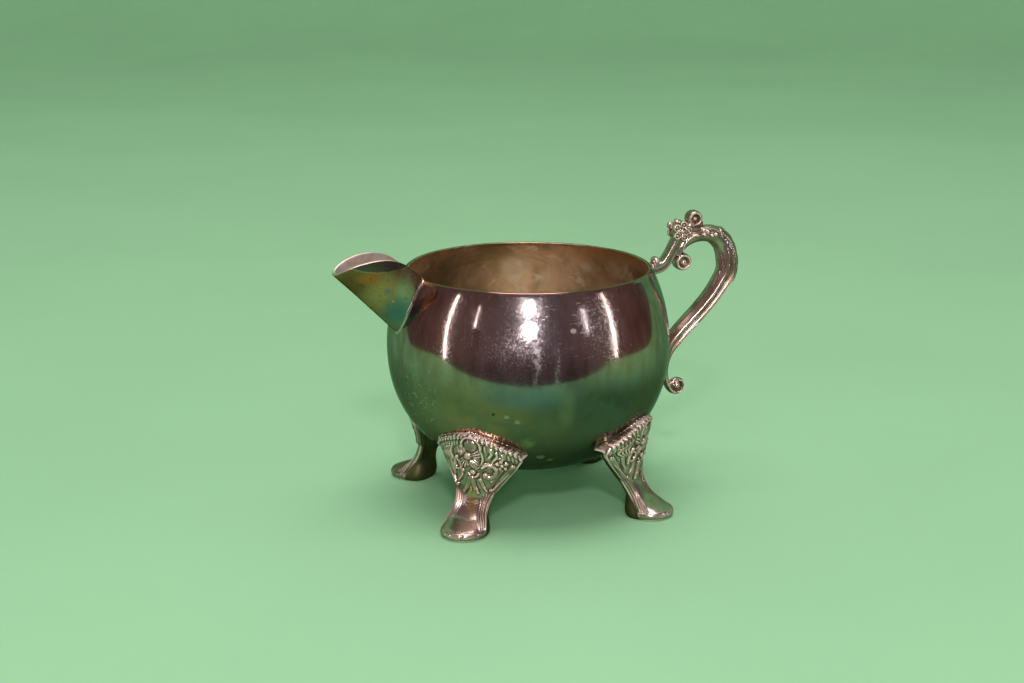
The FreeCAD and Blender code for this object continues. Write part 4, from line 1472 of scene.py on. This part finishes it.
def round_studio():
    """The pale floor and wall all round that the camera looks at."""
    around = 96
    profile = [(0.3, 0.0), (1.0, 0.0)] + bend(1.4, 0.9, 2.6)
    points = [(0.0, 0.0, -FLOOR_GAP)]
    for distance, height in profile:
        for turn in full_turn(around):
            points.append((distance * math.cos(turn), distance * math.sin(turn), height - FLOOR_GAP))
    faces = [[0, 1 + (k + 1) % around, 1 + k] for k in range(around)]
    faces += grid_faces(len(profile), around, wrap_cols=True, first=1)
    studio = stage_piece("studio_floor", points, faces, PALE_PAPER)
    studio.visible_glossy = False
    return studio


def reflected_sheet():
    """The short sheet of paper that the metal mirrors; it ends a hand's width before the jug."""
    profile = [(-SHEET_FRONT, 0.0), (0.0, 0.0)] + bend(0.08, 0.14, 0.9)
    points = [(x, y, z - SHEET_GAP) for y, z in profile for x in (-SHEET_LEFT, SHEET_RIGHT)]
    sheet = stage_piece("mirrored_sheet", points, grid_faces(len(profile), 2), GREEN_PAPER)
    sheet.visible_camera = False
    sheet.visible_shadow = False
    sheet.visible_diffuse = False
    return sheet


FLOOR_GAP = 0.00004
SHEET_GAP = 0.00002
PALE_PAPER = (0.36, 0.64, 0.40)
GREEN_PAPER = (0.15, 0.36, 0.18)
SHEET_FRONT = 0.170
SHEET_LEFT = 0.47
SHEET_RIGHT = 0.38
round_studio()
reflected_sheet()


def area_light(name, place, target, size, radiance, color=(1.0, 0.96, 0.93), in_metal=True, on_paper=True):
    """A soft light in metres from the bowl's axis: size is (width, height) or a disc's diameter."""
    data = bpy.data.lights.new(name, "AREA")
    if np.isscalar(size):
        data.shape = "DISK"
        data.size = size
        area = math.pi * size ** 2 / 4
    else:
        data.shape = "RECTANGLE"
        data.size, data.size_y = size
        area = size[0] * size[1]
    data.energy = radiance * math.pi * area
    data.color = color
    light = bpy.data.objects.new(name, data)
    bpy.context.scene.collection.objects.link(light)
    light.location = view_to_row(*place) + Vector(AXIS * MM)
    direction = view_to_row(*target) + Vector(AXIS * MM) - light.location
    light.rotation_euler = direction.to_track_quat("-Z", "Y").to_euler()
    light.visible_camera = False
    light.visible_glossy = in_metal
    light.visible_diffuse = on_paper
    return light


def light_at(azimuth, elevation, distance):
    """A place seen from the bowl at an azimuth from the camera's side and an elevation."""
    turn, rise = math.radians(azimuth), math.radians(elevation)
    return (distance * math.cos(rise) * math.sin(turn), -distance * math.cos(rise) * math.cos(turn),
            0.055 + distance * math.sin(rise))


BELLY = (0.0, 0.0, 0.055)
COOL_LIGHT = (0.86, 0.93, 1.0)
area_light("upper_lamp", light_at(0.5, 32.0, 1.2), BELLY, 0.12, 95.0)
area_light("lower_lamp", light_at(0.4, 18.0, 1.2), BELLY, 0.12, 76.0)
STRIPS = [
    ("left_strip", (-0.424, -0.179, 0.150), (0.0055, 0.30), 16.0),
    ("right_strip", (0.415, -0.148, 0.150), (0.0055, 0.30), 16.0),
    ("left_short_strip", light_at(-43.5, 22.0, 1.0), (0.012, 0.20), 8.0),
    ("right_short_strip", light_at(48.0, 19.0, 1.0), (0.012, 0.27), 8.0),
]
for name, place, size, radiance in STRIPS:
    area_light(name, place, BELLY, size, radiance, COOL_LIGHT, on_paper=False)
area_light("top_softbox", (0.0, -0.1, 1.5), BELLY, (0.9, 0.9), 3.9)
area_light("paper_fill_top", (0.0, 0.6, 2.4), (0.0, 0.3, 0.0), (2.6, 2.6), 0.9, in_metal=False)
area_light("paper_fill_front", (0.0, -1.5, 1.4), (0.0, 0.6, 0.2), (2.0, 1.4), 0.8, in_metal=False)

world = bpy.data.worlds.new("studio")
bpy.context.scene.world = world
world.use_nodes = True
background = world.node_tree.nodes["Background"]
background.inputs[0].default_value = (0.075, 0.050, 0.052, 1.0)
background.inputs[1].default_value = 1.0
